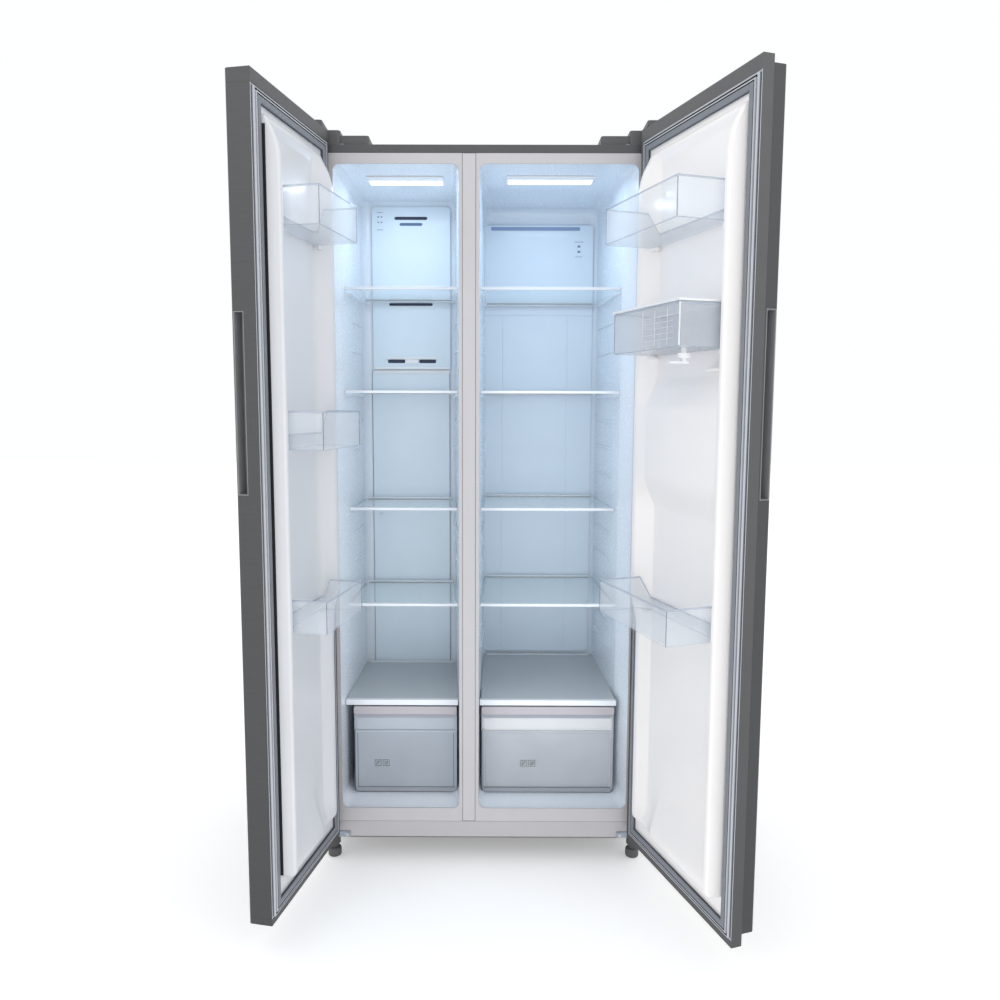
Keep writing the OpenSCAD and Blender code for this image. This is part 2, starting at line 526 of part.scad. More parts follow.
d_u0 = 124; d_u1 = 314; d_z0 = 955; d_z1 = 1185; d_back = 0;
module dispenser_space(g) union() {
  box([d_u0 - g, -70, d_z0 - g], [d_u1 + g, d_back + g, d_z1 + g]);
  box([d_u0 + 10 - g, -70, 1000 - g], [d_u1 - 10 + g, 18 + g, 1140 + g]);
}
module bulge(g) translate([50 + g, 0, 0]) rotate([90, 0, 90]) linear_extrude(rw - right_ridge - 95 - 2 * g)
  polygon([[-20, 930 + g], [-2 - g, 930 + g], [26 - g, 992 + g], [26 - g, 1148 - g], [12 - g, 1186 - g], [-2 - g, 1216 - g], [-20, 1216 - g]]);
module right_hump(g) union() { liner_hump(rw, 30, right_ridge, g); bulge(g); }
module right_door_panel() color("#57595b") at_right() difference() {
  door_block([0, door_front, door_low + 25.8], [rw, -32, door_top - 15], 6);
  door_block([1, door_front + 1, door_low + 26.8], [rw - 1, -31, door_top - 16], 5);
  pocket(2.05, 30, -55, -37);
  dispenser_space(0.05);
}
module right_door_frame() color("#75777a") at_right() difference() {
  union() {
    box([0, -31.95, door_low], [rw, door_in, door_top]);
    box([rw - 36, -52, door_top - 14.9], [rw - 1, -31, door_top]);
    box([rw - 36, -52, door_low], [rw - 1, -31, door_low + 25.7]);
  }
  box([g_free - 0.6, -34, flange_low - 0.1], [rw - 17.9, 0, flange_top + 0.1]);
  translate([rw - pivot_in, py, 60]) cylinder(r = 5.05, h = 43);
  translate([rw - pivot_in, py, 1766]) cylinder(r = 5.05, h = 40);
}
module right_door_liner() color("#f2f0f0") at_right() difference() {
  union() {
    difference() { union() { liner_plate(rw); right_hump(0); } right_hump(t); }
    difference() { lugs(rw, right_ridge, [1501, 688], 59.8, rw - 106); right_hump(1); }
    difference() { lugs(rw, right_ridge, [1265], 59.8, rw - 113); right_hump(1); }
  }
  box([0, -60, 0], [rw, -10, 2000]);
}
module right_door_gasket() color("#9ea5ae") at_right() gasket(rw);
module right_door_foam() color("#e8dfb8") at_right() difference() {
  union() {
    door_block([1.1, door_front + 1.1, door_low + 26.9], [rw - 1.1, -32, door_top - 16.1], 6);
    box([g_free - 0.5, -31.9, flange_low], [rw - 18, -10.1, flange_top]);
    box([g_free + 6, -33, flange_low + 20], [rw - 30, -31, flange_top - 10]);
    intersection() { right_hump(t + 0.1); box([0, -12, 0], [rw, 60, 2000]); }
  }
  pocket(2.1, 30, -55, -37);
  dispenser_space(0.1);
  translate([rw - pivot_in, py, 60]) cylinder(r = 7, h = 60);
  translate([rw - pivot_in, py, flange_top - 5]) cylinder(r = 7, h = 40);
}
module right_door_handle() color("#44464a") at_right() handle_insert(-55, -37);
module dispenser_housing() color("#26282a") at_right() difference() {
  union() {
    intersection() { dispenser_space(0); box([0, door_front - 2.5, 900], [rw, 30, 1300]); }
    rbox_y([d_u0 - 8, door_front - 2.5, d_z0 - 8], [d_u1 + 8, door_front - 0.05, d_z1 + 8], 10);
  }
  difference() {
    dispenser_space(-2.5);
    translate([(d_u0 + d_u1) / 2, -28, d_z1 - 30]) cylinder(r = 9, h = 40);
    translate([(d_u0 + d_u1) / 2, -28, d_z1 - 12]) cylinder(r = 22, h = 20);
  }
  translate([(d_u0 + d_u1) / 2, -28, d_z1 - 60]) cylinder(r = 4, h = 54);
}
lever_u = (d_u0 + d_u1) / 2;
module dispenser_lever() color("#3a3d40") at_right() union() {
  translate([lever_u - 20, -9, 1150]) rotate([0, 90, 0]) cylinder(r = 3, h = 40);
  box([lever_u - 18, -10.5, 1082], [lever_u + 18, -7.5, 1150]);
  rbox_y([lever_u - 22, -12, 1052], [lever_u + 22, -8, 1090], 8);
}
module drip_tray() color("#2c2e30") at_right() difference() {
  box([d_u0 + 4, door_front + 1, d_z0 + 2.6], [d_u1 - 4, -4, d_z0 + 13]);
  for (u = [d_u0 + 14 : 12 : d_u1 - 22]) box([u, door_front + 8, d_z0 + 5], [u + 7, -10, d_z0 + 20]);
}
rbin = [[59.8, 0], [rw - 110, 0], [rw - 87, 20.8], [rw - 87, 123.8], [59.8, 123.8]];
rbin_in = [[62, 2.2], [rw - 111, 2.2], [rw - 89.2, 21.9], [rw - 89.2, 121.6], [62, 121.6]];
module right_bin_top() color([0.85, 0.9, 0.95, 0.45]) at_right() bin(rbin, rbin_in, 1501, 1578, 30);
module right_bin_bottom() color([0.85, 0.9, 0.95, 0.45]) at_right() bin(rbin, rbin_in, 688, 763, 30);
module water_tank() color([0.86, 0.9, 0.93, 0.5]) at_right() difference() {
  slab(1265, 1351, [[59.8, 0], [rw - 113, 0], [rw - 113, 112], [59.8, 112]]);
  slab(1268, 1360, [[62.4, 2.6], [rw - 115.6, 2.6], [rw - 115.6, 109.4], [62.4, 109.4]]);
  translate([94, 80, 1260]) cylinder(r = 6.05, h = 20);
}
module tank_lid() color("#f4f5f6") at_right() difference() {
  union() {
    box([59, 4, 1351.4], [rw - 112.2, 114, 1356]);
    translate([70, 4, 1353.7]) rotate([0, 90, 0]) cylinder(r = 2.3, h = rw - 112.2 - 80);
  }
  rbox_z([80, 24, 1354.4], [rw - 134, 96, 1360], 10);
}
module tap_valve() color("#e9ebec") at_right() union() {
  translate([94, 80, 1236]) cylinder(r = 6, h = 36);
  translate([94, 80, 1246]) cylinder(r = 13, h = 10);
  box([88, 72, 1236], [100, 112, 1240]);
}

cabinet_shell();
back_panel();
base_pan();
front_frame();
bottom_rail();
mullion_cover();
freezer_liner();
fridge_liner();
cabinet_foam();
freezer_duct_cover();
freezer_lower_panel();
fridge_duct_cover();
evaporator();
fan_motors();
light_covers();
freezer_shelves();
fridge_shelves();
freezer_shelf_trims();
fridge_shelf_trims();
compressor();
condenser();
drain_pan();
machine_cover();
top_hinges();
lower_hinges();
hinge_covers();
screws();
power_inlet();
roller_axles();
evaporator_fan();
condenser_fan();
left_foot();
right_foot();
left_roller();
right_roller();
freezer_drawer();
fridge_drawer();
left_door_skin();
left_door_caps();
left_door_liner();
left_door_gasket();
left_door_foam();
left_door_handle();
left_bin_top();
left_bin_middle();
left_bin_bottom();
right_door_panel();
right_door_frame();
right_door_liner();
right_door_gasket();
right_door_foam();
right_door_handle();
dispenser_housing();
dispenser_lever();
drip_tray();
right_bin_top();
right_bin_bottom();
water_tank();
tank_lid();
tap_valve();
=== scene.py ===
import bpy, bmesh, math, json
from mathutils import Matrix, Vector


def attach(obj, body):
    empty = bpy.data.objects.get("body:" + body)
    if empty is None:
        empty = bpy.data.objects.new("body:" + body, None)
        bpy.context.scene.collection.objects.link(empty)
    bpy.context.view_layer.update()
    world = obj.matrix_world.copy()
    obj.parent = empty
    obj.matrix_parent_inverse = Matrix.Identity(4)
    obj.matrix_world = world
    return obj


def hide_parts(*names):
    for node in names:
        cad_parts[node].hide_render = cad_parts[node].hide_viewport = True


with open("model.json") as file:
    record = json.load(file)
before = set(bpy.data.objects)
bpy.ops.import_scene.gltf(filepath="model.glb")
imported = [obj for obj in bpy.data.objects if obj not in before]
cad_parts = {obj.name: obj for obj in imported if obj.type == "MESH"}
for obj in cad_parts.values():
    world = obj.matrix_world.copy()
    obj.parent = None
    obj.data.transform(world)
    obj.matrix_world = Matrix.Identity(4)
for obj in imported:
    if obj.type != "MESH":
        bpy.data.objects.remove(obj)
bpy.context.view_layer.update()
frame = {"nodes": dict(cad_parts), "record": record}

NODES = frame["nodes"]
BODY = {}
for b, ns in frame["record"]["behaviour"]["bodies"].items():
    for n in ns:
        BODY[n] = b
SLOT = {s["node"]: s["material_slot"] for s in frame["record"]["subparts"]}
scene = bpy.context.scene

# ------------------------------------------------------------------ camera
YAW, PITCH, ROLL = 0.0028403, 0.105737, -0.0026451
R = Matrix.Rotation(YAW, 3, "Z") @ Matrix.Rotation(-PITCH, 3, "X") @ Matrix.Rotation(ROLL, 3, "Y")
cam_data = bpy.data.cameras.new("camera")
cam = bpy.data.objects.new("camera", cam_data)
scene.collection.objects.link(cam)
cx, cy, cz = R.col[0], R.col[1], R.col[2]
M = Matrix(((cx[0], cz[0], -cy[0], 0), (cx[1], cz[1], -cy[1], 0), (cx[2], cz[2], -cy[2], 0), (0, 0, 0, 1)))
M.translation = Vector((0.013474, -1.97539, 1.15785))
cam.matrix_world = M
cam_data.sensor_width = 36
cam_data.lens = 29.3706
cam_data.shift_x = 0.01268
cam_data.shift_y = -0.00942
cam_data.clip_start = 0.05
scene.camera = cam

# ------------------------------------------------------------------ materials
def material(name, color, rough=0.4, metal=0.0, var=0.03, vscale=14.0, bump=0.02, bscale=600.0, stretch=(1, 1, 1),
             coat=0.0, alpha=1.0, rvar=0.06, spec=0.5, emit=None, sss=0.0, ior=1.5, low=1.0):
    m = bpy.data.materials.new(name)
    m.use_nodes = True
    nt = m.node_tree
    p = nt.nodes["Principled BSDF"]
    p.inputs["Metallic"].default_value = metal
    p.inputs["Specular IOR Level"].default_value = spec
    p.inputs["IOR"].default_value = ior
    if coat:
        p.inputs["Coat Weight"].default_value = coat
        p.inputs["Coat Roughness"].default_value = 0.08
    if sss:
        p.inputs["Subsurface Weight"].default_value = sss
        p.inputs["Subsurface Radius"].default_value = (0.004, 0.004, 0.004)
    if alpha < 1:
        p.inputs["Alpha"].default_value = alpha
    if emit:
        p.inputs["Emission Color"].default_value = (*emit[0], 1)
        p.inputs["Emission Strength"].default_value = emit[1]
    tc = nt.nodes.new("ShaderNodeTexCoord")
    mp = nt.nodes.new("ShaderNodeMapping")
    mp.inputs["Scale"].default_value = stretch
    nt.links.new(tc.outputs["Object"], mp.inputs["Vector"])
    n1 = nt.nodes.new("ShaderNodeTexNoise")
    n1.inputs["Scale"].default_value = vscale
    n1.inputs["Detail"].default_value = 4
    nt.links.new(mp.outputs["Vector"], n1.inputs["Vector"])
    ramp = nt.nodes.new("ShaderNodeValToRGB")
    ramp.color_ramp.elements[0].position = 0.3
    ramp.color_ramp.elements[1].position = 0.7
    ramp.color_ramp.elements[0].color = (*[max(0, c * (1 - var)) for c in color], 1)
    ramp.color_ramp.elements[1].color = (*[min(1, c * (1 + var)) for c in color], 1)
    nt.links.new(n1.outputs["Fac"], ramp.inputs["Fac"])
    if low < 1:      # painted shade: a little darker towards the floor, standing in for light falling off lower down
        sx = nt.nodes.new("ShaderNodeSeparateXYZ")
        nt.links.new(tc.outputs["Object"], sx.inputs["Vector"])
        painted_floor_shade = nt.nodes.new("ShaderNodeMapRange")
        painted_floor_shade.inputs["From Max"].default_value = 1.8
        painted_floor_shade.inputs["To Min"].default_value = low
        painted_floor_shade.inputs["To Max"].default_value = 1.0
        nt.links.new(sx.outputs["Z"], painted_floor_shade.inputs["Value"])
        vm = nt.nodes.new("ShaderNodeVectorMath")
        vm.operation = "SCALE"
        nt.links.new(ramp.outputs["Color"], vm.inputs[0])
        nt.links.new(painted_floor_shade.outputs["Result"], vm.inputs["Scale"])
        nt.links.new(vm.outputs["Vector"], p.inputs["Base Color"])
    else:
        nt.links.new(ramp.outputs["Color"], p.inputs["Base Color"])
    n2 = nt.nodes.new("ShaderNodeTexNoise")
    n2.inputs["Scale"].default_value = bscale
    n2.inputs["Detail"].default_value = 3
    nt.links.new(mp.outputs["Vector"], n2.inputs["Vector"])
    mr = nt.nodes.new("ShaderNodeMapRange")
    mr.inputs["To Min"].default_value = max(0.02, rough - rvar)
    mr.inputs["To Max"].default_value = min(1, rough + rvar)
    nt.links.new(n2.outputs["Fac"], mr.inputs["Value"])
    nt.links.new(mr.outputs["Result"], p.inputs["Roughness"])
    if bump:
        bp = nt.nodes.new("ShaderNodeBump")
        bp.inputs["Strength"].default_value = bump
        bp.inputs["Distance"].default_value = 0.0006
        nt.links.new(n2.outputs["Fac"], bp.inputs["Height"])
        nt.links.new(bp.outputs["Normal"], p.inputs["Normal"])
    return m

MAT = {
    "steel_body": material("steel_body", (0.092, 0.093, 0.096), 0.42, 0.2, 0.04, 8, 0.05, 900, coat=0.1),
    # low=0.62: painted shade, these door steels, caps and frame are 38% darker at floor height
    "steel_left": material("steel_left", (0.092, 0.093, 0.094), 0.42, 0.3, 0.05, 30, 0.06, 260, (1, 1, 16), low=0.62),
    "steel_right": material("steel_right", (0.078, 0.079, 0.081), 0.42, 0.3, 0.05, 30, 0.06, 260, (1, 1, 16), low=0.62),
    "door_caps": material("door_caps", (0.094, 0.095, 0.096), 0.42, 0.3, 0.05, 30, 0.06, 260, (1, 1, 16), low=0.62),
    "door_frame": material("door_frame", (0.108, 0.109, 0.111), 0.46, 0.1, 0.03, 20, 0.06, 1500, low=0.62),
    "front_steel": material("front_steel", (0.585, 0.565, 0.58), 0.45, 0.1, 0.015, 6, 0.04, 900, coat=0.15),
    "rail_steel": material("rail_steel", (0.53, 0.515, 0.535), 0.45, 0.1, 0.015, 6, 0.04, 900, coat=0.15),
    "mullion": material("mullion", (0.60, 0.585, 0.60), 0.4, 0.0, 0.012, 6, 0.04, 900, coat=0.1),
    "back_steel": material("back_steel", (0.36, 0.365, 0.37), 0.5, 0.7, 0.10, 40, 0.08, 300),
    "pan_steel": material("pan_steel", (0.10, 0.10, 0.105), 0.5, 0.6, 0.08, 40, 0.06, 300),
    "cabinet_liner_left": material("cabinet_liner_left", (0.79, 0.84, 0.90), 0.26, 0, 0.012, 5, 0.03, 250, coat=0.25, sss=0.05),
    "cabinet_liner_right": material("cabinet_liner_right", (0.76, 0.82, 0.89), 0.26, 0, 0.012, 5, 0.03, 250, coat=0.25, sss=0.05),
    "duct_left": material("duct_left", (0.74, 0.83, 0.90), 0.33, 0, 0.012, 9, 0.05, 1800, coat=0.1),
    "duct_right": material("duct_right", (0.70, 0.79, 0.88), 0.33, 0, 0.012, 9, 0.05, 1800, coat=0.1),
    "light_lens": material("light_lens", (0.95, 0.97, 1.0), 0.4, emit=((0.97, 0.985, 1.0), 2.2)),
    "coil_metal": material("coil_metal", (0.75, 0.77, 0.78), 0.35, 1.0),
    "motor": material("motor", (0.04, 0.04, 0.045), 0.5),
    "fan_plastic": material("fan_plastic", (0.06, 0.062, 0.066), 0.45),
    "compressor_black": material("compressor_black", (0.015, 0.015, 0.017), 0.25, 0.2, 0.2, 30, 0.1, 400, coat=0.5),
    "condenser_metal": material("condenser_metal", (0.12, 0.12, 0.125), 0.45, 0.4),
    "pan_plastic": material("pan_plastic", (0.6, 0.6, 0.58), 0.5),
    "cover_steel": material("cover_steel", (0.12, 0.122, 0.126), 0.5, 0.5, 0.06, 30, 0.08, 400),
    "cover_frost": material("cover_frost", (0.86, 0.90, 0.93), 0.3, 0, 0.02, 3, 0.0, 200, alpha=0.42, spec=0.5),
    "shelf_glass": material("shelf_glass", (0.74, 0.92, 0.96), 0.05, 0, 0.02, 3, 0.0, 200, alpha=0.20, spec=0.9),
    "shelf_trim": material("shelf_trim", (0.76, 0.79, 0.83), 0.22, 0.1, 0.02, 10, 0.02, 800, coat=0.3),
    "hinge_steel": material("hinge_steel", (0.34, 0.38, 0.44), 0.3, 0.9, 0.06, 50, 0.06, 500),
    "hinge_cover": material("hinge_cover", (0.105, 0.106, 0.109), 0.48, 0, 0.04, 20, 0.35, 1600),
    "screw_steel": material("screw_steel", (0.6, 0.61, 0.62), 0.3, 1.0),
    "inlet": material("inlet", (0.02, 0.02, 0.02), 0.5, bump=0.1, bscale=1400),
    "foot_plastic": material("foot_plastic", (0.085, 0.087, 0.088), 0.5, 0, 0.05, 60, 0.2, 1500),
    "roller_plastic": material("roller_plastic", (0.05, 0.05, 0.055), 0.5),
    # both door liners are one white plastic: the left is painted darker and greyer as painted shade, the right brighter
    # and warmer as painted light
    "door_liner_left": material("door_liner_left", (0.74, 0.75, 0.775), 0.30, 0, 0.012, 5, 0.03, 250, coat=0.2, sss=0.05),
    "door_liner_right": material("door_liner_right", (0.96, 0.935, 0.925), 0.30, 0, 0.012, 5, 0.03, 250, coat=0.2, sss=0.05),
    "seal": material("seal", (0.20, 0.215, 0.245), 0.5, 0, 0.03, 30, 0.1, 900),
    "grip": material("grip", (0.27, 0.272, 0.277), 0.45, 0, 0.05, 30, 0.1, 1300),
    "dispenser_black": material("dispenser_black", (0.02, 0.021, 0.024), 0.14, 0, 0.1, 20, 0.02, 700, coat=0.6),
    "bin_clear": material("bin_clear", (0.80, 0.86, 0.93), 0.10, 0, 0.02, 40, 0.04, 120, alpha=0.22, spec=0.8),
    "bin_edge": material("bin_edge", (0.47, 0.53, 0.62), 0.16, 0, 0.05, 60, 0.02, 200, alpha=0.62, spec=0.8),
    "bin_dark": material("bin_dark", (0.20, 0.25, 0.33), 0.2, 0, 0.05, 60, 0.02, 200, alpha=0.55, spec=0.8),
    "tank_clear": material("tank_clear", (0.76, 0.81, 0.88), 0.16, 0, 0.03, 50, 0.06, 120, alpha=0.32, spec=0.8),
    "lid_white": material("lid_white", (0.86, 0.87, 0.89), 0.3, 0, 0.01, 20, 0.03, 900, coat=0.2),
    "drawer_left": material("drawer_left", (0.47, 0.52, 0.58), 0.22, 0, 0.03, 12, 0.03, 200, alpha=0.8, coat=0.2),
    "drawer_right": material("drawer_right", (0.72, 0.755, 0.81), 0.16, 0, 0.03, 12, 0.03, 200, alpha=0.42, coat=0.2),
    "drawer_bar": material("drawer_bar", (0.45, 0.425, 0.45), 0.3, 0, 0.02, 12, 0.03, 600, coat=0.1),
    "drawer_bead": material("drawer_bead", (0.13, 0.15, 0.19), 0.2, 0, 0.03, 30, 0.02, 300, alpha=0.8),
    "drawer_band": material("drawer_band", (0.40, 0.42, 0.47), 0.3, 0, 0.03, 12, 0.03, 600, alpha=0.9),
    "window_left": material("window_left", (0.66, 0.72, 0.79), 0.1, 0, 0.02, 12, 0.0, 300, alpha=0.6, coat=0.3),
    "window_right": material("window_right", (0.97, 0.98, 1.0), 0.08, 0, 0.02, 12, 0.0, 300, alpha=0.6, coat=0.3),
    "mark": material("mark", (0.10, 0.11, 0.13), 0.4),
    "mark_blue": material("mark_blue", (0.16, 0.22, 0.34), 0.4),
    "slot_blue": material("slot_blue", (0.12, 0.20, 0.34), 0.6),
    "slot_pale": material("slot_pale", (0.26, 0.36, 0.54), 0.5),
    "slot_dark": material("slot_dark", (0.035, 0.05, 0.085), 0.6),
    "seal_light": material("seal_light", (0.50, 0.52, 0.56), 0.35, 0, 0.03, 30, 0.05, 900),
    "joint_blue": material("joint_blue", (0.16, 0.22, 0.30), 0.6),
    "joint_pale": material("joint_pale", (0.40, 0.50, 0.62), 0.6),
    "joint_dark": material("joint_dark", (0.16, 0.155, 0.165), 0.6),
    # painted shade: near-black put in gasket grooves and along door gaps where shade falls
    "painted_gap_shade": material("painted_gap_shade", (0.012, 0.012, 0.014), 0.7),
    "chrome_line": material("chrome_line", (0.75, 0.76, 0.78), 0.18, 1.0),
    "foam": material("foam", (0.82, 0.74, 0.48), 0.8, 0, 0.1, 60, 0.5, 300),
}
MAT["drawer_clear"] = MAT["drawer_left"]

# ------------------------------------------------------------------ mesh helpers
LO, RO = math.radians(101.56), math.radians(108.21)
LF, RF, HALF, PX, PY = -39.7, -33.8, 410.0, 392.0, -35.6
LW, RW = LF + HALF, HALF - RF
def T(x, y, z): return Matrix.Translation((x, y, z))
AT_LEFT = T(-PX, PY, 0) @ Matrix.Rotation(-LO, 4, "Z") @ T(PX, -PY, 0) @ T(LF, 0, 0) @ Matrix.Diagonal((-1, 1, 1, 1))
AT_RIGHT = T(PX, PY, 0) @ Matrix.Rotation(RO, 4, "Z") @ T(-PX, -PY, 0) @ T(RF, 0, 0)
ID = Matrix.Identity(4)

def finish_mesh(name, me, body, mats, replaces=(), angle=38, weighted=True):
    for m in mats:
        me.materials.append(MAT[m])
    o = bpy.data.objects.new(name, me)
    scene.collection.objects.link(o)
    for p in me.polygons:
        p.use_smooth = True
    me.set_sharp_from_angle(angle=math.radians(angle))
    if weighted:
        w = o.modifiers.new("normals", "WEIGHTED_NORMAL")
        w.keep_sharp = True
    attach(o, body)
    if replaces:
        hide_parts(*replaces)
    return o

def build(name, parts, body, mats, replaces=(), at=ID, angle=38, weighted=True):
    """parts: list of (verts in mm, faces, material index)"""
    bm = bmesh.new()
    for verts, faces, mi in parts:
        vs = [bm.verts.new((at @ Vector(v)) * 0.001) for v in verts]
        for f in faces:
            if len(set(f)) < 3:
                continue
            try:
                face = bm.faces.new([vs[i] for i in f])
                face.material_index = mi
            except ValueError:
                pass
    bmesh.ops.remove_doubles(bm, verts=bm.verts, dist=2e-6)
    bmesh.ops.dissolve_degenerate(bm, edges=bm.edges, dist=1e-6)
    bmesh.ops.recalc_face_normals(bm, faces=bm.faces)
    me = bpy.data.meshes.new(name)
    bm.to_mesh(me)
    bm.free()
    return finish_mesh(name, me, body, mats, replaces, angle, weighted)

def refine(node, width=0.8, segs=2, mat=None, angle=32):
    """A bevelled copy of a CAD node that stands for it."""
    src = NODES[node]
    bm = bmesh.new()
    bm.from_mesh(src.data)
    bmesh.ops.remove_doubles(bm, verts=bm.verts, dist=2e-6)
    bmesh.ops.dissolve_limit(bm, angle_limit=math.radians(0.6), verts=bm.verts, edges=bm.edges)
    bm.edges.ensure_lookup_table()
    if width:
        es = [e for e in bm.edges if len(e.link_faces) == 2 and e.calc_face_angle(0) > math.radians(angle)]
        bmesh.ops.bevel(bm, geom=es, offset=width * 0.001, segments=segs, profile=0.5, affect="EDGES", clamp_overlap=True)
        bmesh.ops.dissolve_degenerate(bm, edges=bm.edges, dist=1e-6)
    me = bpy.data.meshes.new(node + ".fine")
    bm.to_mesh(me)
    bm.free()
    slot = SLOT[node]
    return finish_mesh(node + ".fine", me, BODY[node], [mat or slot], [node], 40)

def loft(loops, closed=True, cap0=False, cap1=False):
    n = len(loops[0])
    verts = [v for l in loops for v in l]
    faces = []
    for i in range(len(loops) - 1):
        for j in range(n if closed else n - 1):
            k = (j + 1) % n
            faces.append((i * n + j, i * n + k, (i + 1) * n + k, (i + 1) * n + j))
    if cap0: faces.append(tuple(range(n - 1, -1, -1)))
    if cap1: faces.append(tuple((len(loops) - 1) * n + j for j in range(n)))
    return verts, faces

def rrect(x0, x1, z0, z1, r, n=7):
    pts = []
    r = min(r, (x1 - x0) / 2 - 0.01, (z1 - z0) / 2 - 0.01)
    for cxx, czz, a0 in ((x1 - r, z1 - r, 0), (x0 + r, z1 - r, 90), (x0 + r, z0 + r, 180), (x1 - r, z0 + r, 270)):
        for i in range(n + 1):
            a = math.radians(a0 + 90 * i / n)
            pts.append((cxx + r * math.cos(a), czz + r * math.sin(a)))
    return pts

def fillet(pts, radii, n=4, closed=False):
    out = []
    m = len(pts)
    for i, p in enumerate(pts):
        if not closed and i in (0, m - 1):
            out.append(p); continue
        a, b = pts[(i - 1) % m], pts[(i + 1) % m]
        va, vb = (a[0] - p[0], a[1] - p[1]), (b[0] - p[0], b[1] - p[1])
        la, lb = math.hypot(*va) or 1e-9, math.hypot(*vb) or 1e-9
        ua, ub = (va[0] / la, va[1] / la), (vb[0] / lb, vb[1] / lb)
        c = max(-1, min(1, ua[0] * ub[0] + ua[1] * ub[1]))
        ang = math.acos(c)
        t = min(radii[i] / max(1e-6, math.tan(ang / 2)) if ang < math.pi - 1e-4 else radii[i] * 0.4, 0.46 * la, 0.46 * lb)
        t = max(t, 1e-4)
        p0 = (p[0] + ua[0] * t, p[1] + ua[1] * t)
        p2 = (p[0] + ub[0] * t, p[1] + ub[1] * t)
        for k in range(n + 1):
            s = k / n
            q0 = (p0[0] + (p[0] - p0[0]) * s, p0[1] + (p[1] - p0[1]) * s)
            q1 = (p[0] + (p2[0] - p[0]) * s, p[1] + (p2[1] - p[1]) * s)
            # a circular arc is closer to a weighted curve
            w = 1 + (math.sin(ang / 2) - 1)
            den = (1 - s) ** 2 + 2 * s * (1 - s) * w + s * s
            out.append((((1 - s) ** 2 * p0[0] + 2 * s * (1 - s) * w * p[0] + s * s * p2[0]) / den,
                        ((1 - s) ** 2 * p0[1] + 2 * s * (1 - s) * w * p[1] + s * s * p2[1]) / den))
    return out

def inset(poly, d):
    """insets a convex closed polygon (counter-clockwise) by d"""
    m = len(poly)
    area = sum(poly[i][0] * poly[(i + 1) % m][1] - poly[(i + 1) % m][0] * poly[i][1] for i in range(m))
    s = 1 if area > 0 else -1
    lines = []
    for i in range(m):
        a, b = poly[i], poly[(i + 1) % m]
        L = math.hypot(b[0] - a[0], b[1] - a[1])
        nx, ny = -(b[1] - a[1]) / L * s, (b[0] - a[0]) / L * s
        lines.append((nx, ny, nx * a[0] + ny * a[1] + d))
    out = []
    for i in range(m):
        n0, n1 = lines[i - 1], lines[i]
        det = n0[0] * n1[1] - n1[0] * n0[1]
        out.append(((n0[2] * n1[1] - n1[2] * n0[1]) / det, (n0[0] * n1[2] - n1[0] * n0[2]) / det))
    return out

def interp(table, z):
    if z <= table[0][0]: return table[0][1]
    for (a, va), (b, vb) in zip(table, table[1:]):
        if z <= b:
            s = (z - a) / (b - a)
            return va + (vb - va) * s
    return table[-1][1]

def smooth_interp(table, z):
    if z <= table[0][0]: return table[0][1]
    if z >= table[-1][0]: return table[-1][1]
    n = len(table)
    for i in range(n - 1):
        (a, va), (b, vb) = table[i], table[i + 1]
        if z <= b:
            h = b - a
            m0 = (vb - table[i - 1][1]) / (b - table[i - 1][0]) if i > 0 else 0
            m1 = (table[i + 2][1] - va) / (table[i + 2][0] - a) if i + 2 < n else 0
            if va == vb: m0 = m1 = 0
            s = (z - a) / h
            return ((2 * s ** 3 - 3 * s * s + 1) * va + (s ** 3 - 2 * s * s + s) * h * m0
                    + (-2 * s ** 3 + 3 * s * s) * vb + (s ** 3 - s * s) * h * m1)

def rbox(x0, x1, y0, y1, z0, z1, r=1.5, mi=0, n=3):
    """a box with every edge rounded"""
    loops = []
    r = min(r, (x1 - x0) / 2.02, (y1 - y0) / 2.02, (z1 - z0) / 2.02)
    for i in range(n + 1):
        a = math.pi / 2 * i / n
        d, zz = r * (1 - math.sin(a)), z0 + r * (1 - math.cos(a))
        loops.append([(p[0], p[1], zz) for p in rrect(x0 + d, x1 - d, y0 + d, y1 - d, max(r - d, 0.02), 3)])
    for i in range(n, -1, -1):
        a = math.pi / 2 * i / n
        d, zz = r * (1 - math.sin(a)), z1 - r * (1 - math.cos(a))
        loops.append([(p[0], p[1], zz) for p in rrect(x0 + d, x1 - d, y0 + d, y1 - d, max(r - d, 0.02), 3)])
    v, f = loft(loops, True, True, True)
    return v, f, mi

def wedge(pts, z0, z1, mi=0, r=0):
    """an upright prism over a plan outline, with rounded outline corners"""
    if r: pts = fillet(pts, [r] * len(pts), 3, True)
    v, f = loft([[(x, y, z0) for x, y in pts], [(x, y, z1) for x, y in pts]], True, True, True)
    return v, f, mi

# ------------------------------------------------------------------ cabinet liners
def lerp(a, b, s): return a + (b - a) * s
def fzl(y): return lerp(-356.5, -346, (y - 2.5) / 377.5)
def fzr(y): return lerp(-60.8, -84, (y - 2.5) / 377.5)
def frl(y): return lerp(-12.7, -4, (y - 2.5) / 455.5)
def frr(y): return lerp(360.4, 342, (y - 2.5) / 97.5) if y < 100 else lerp(342, 324, (y - 100) / 358)

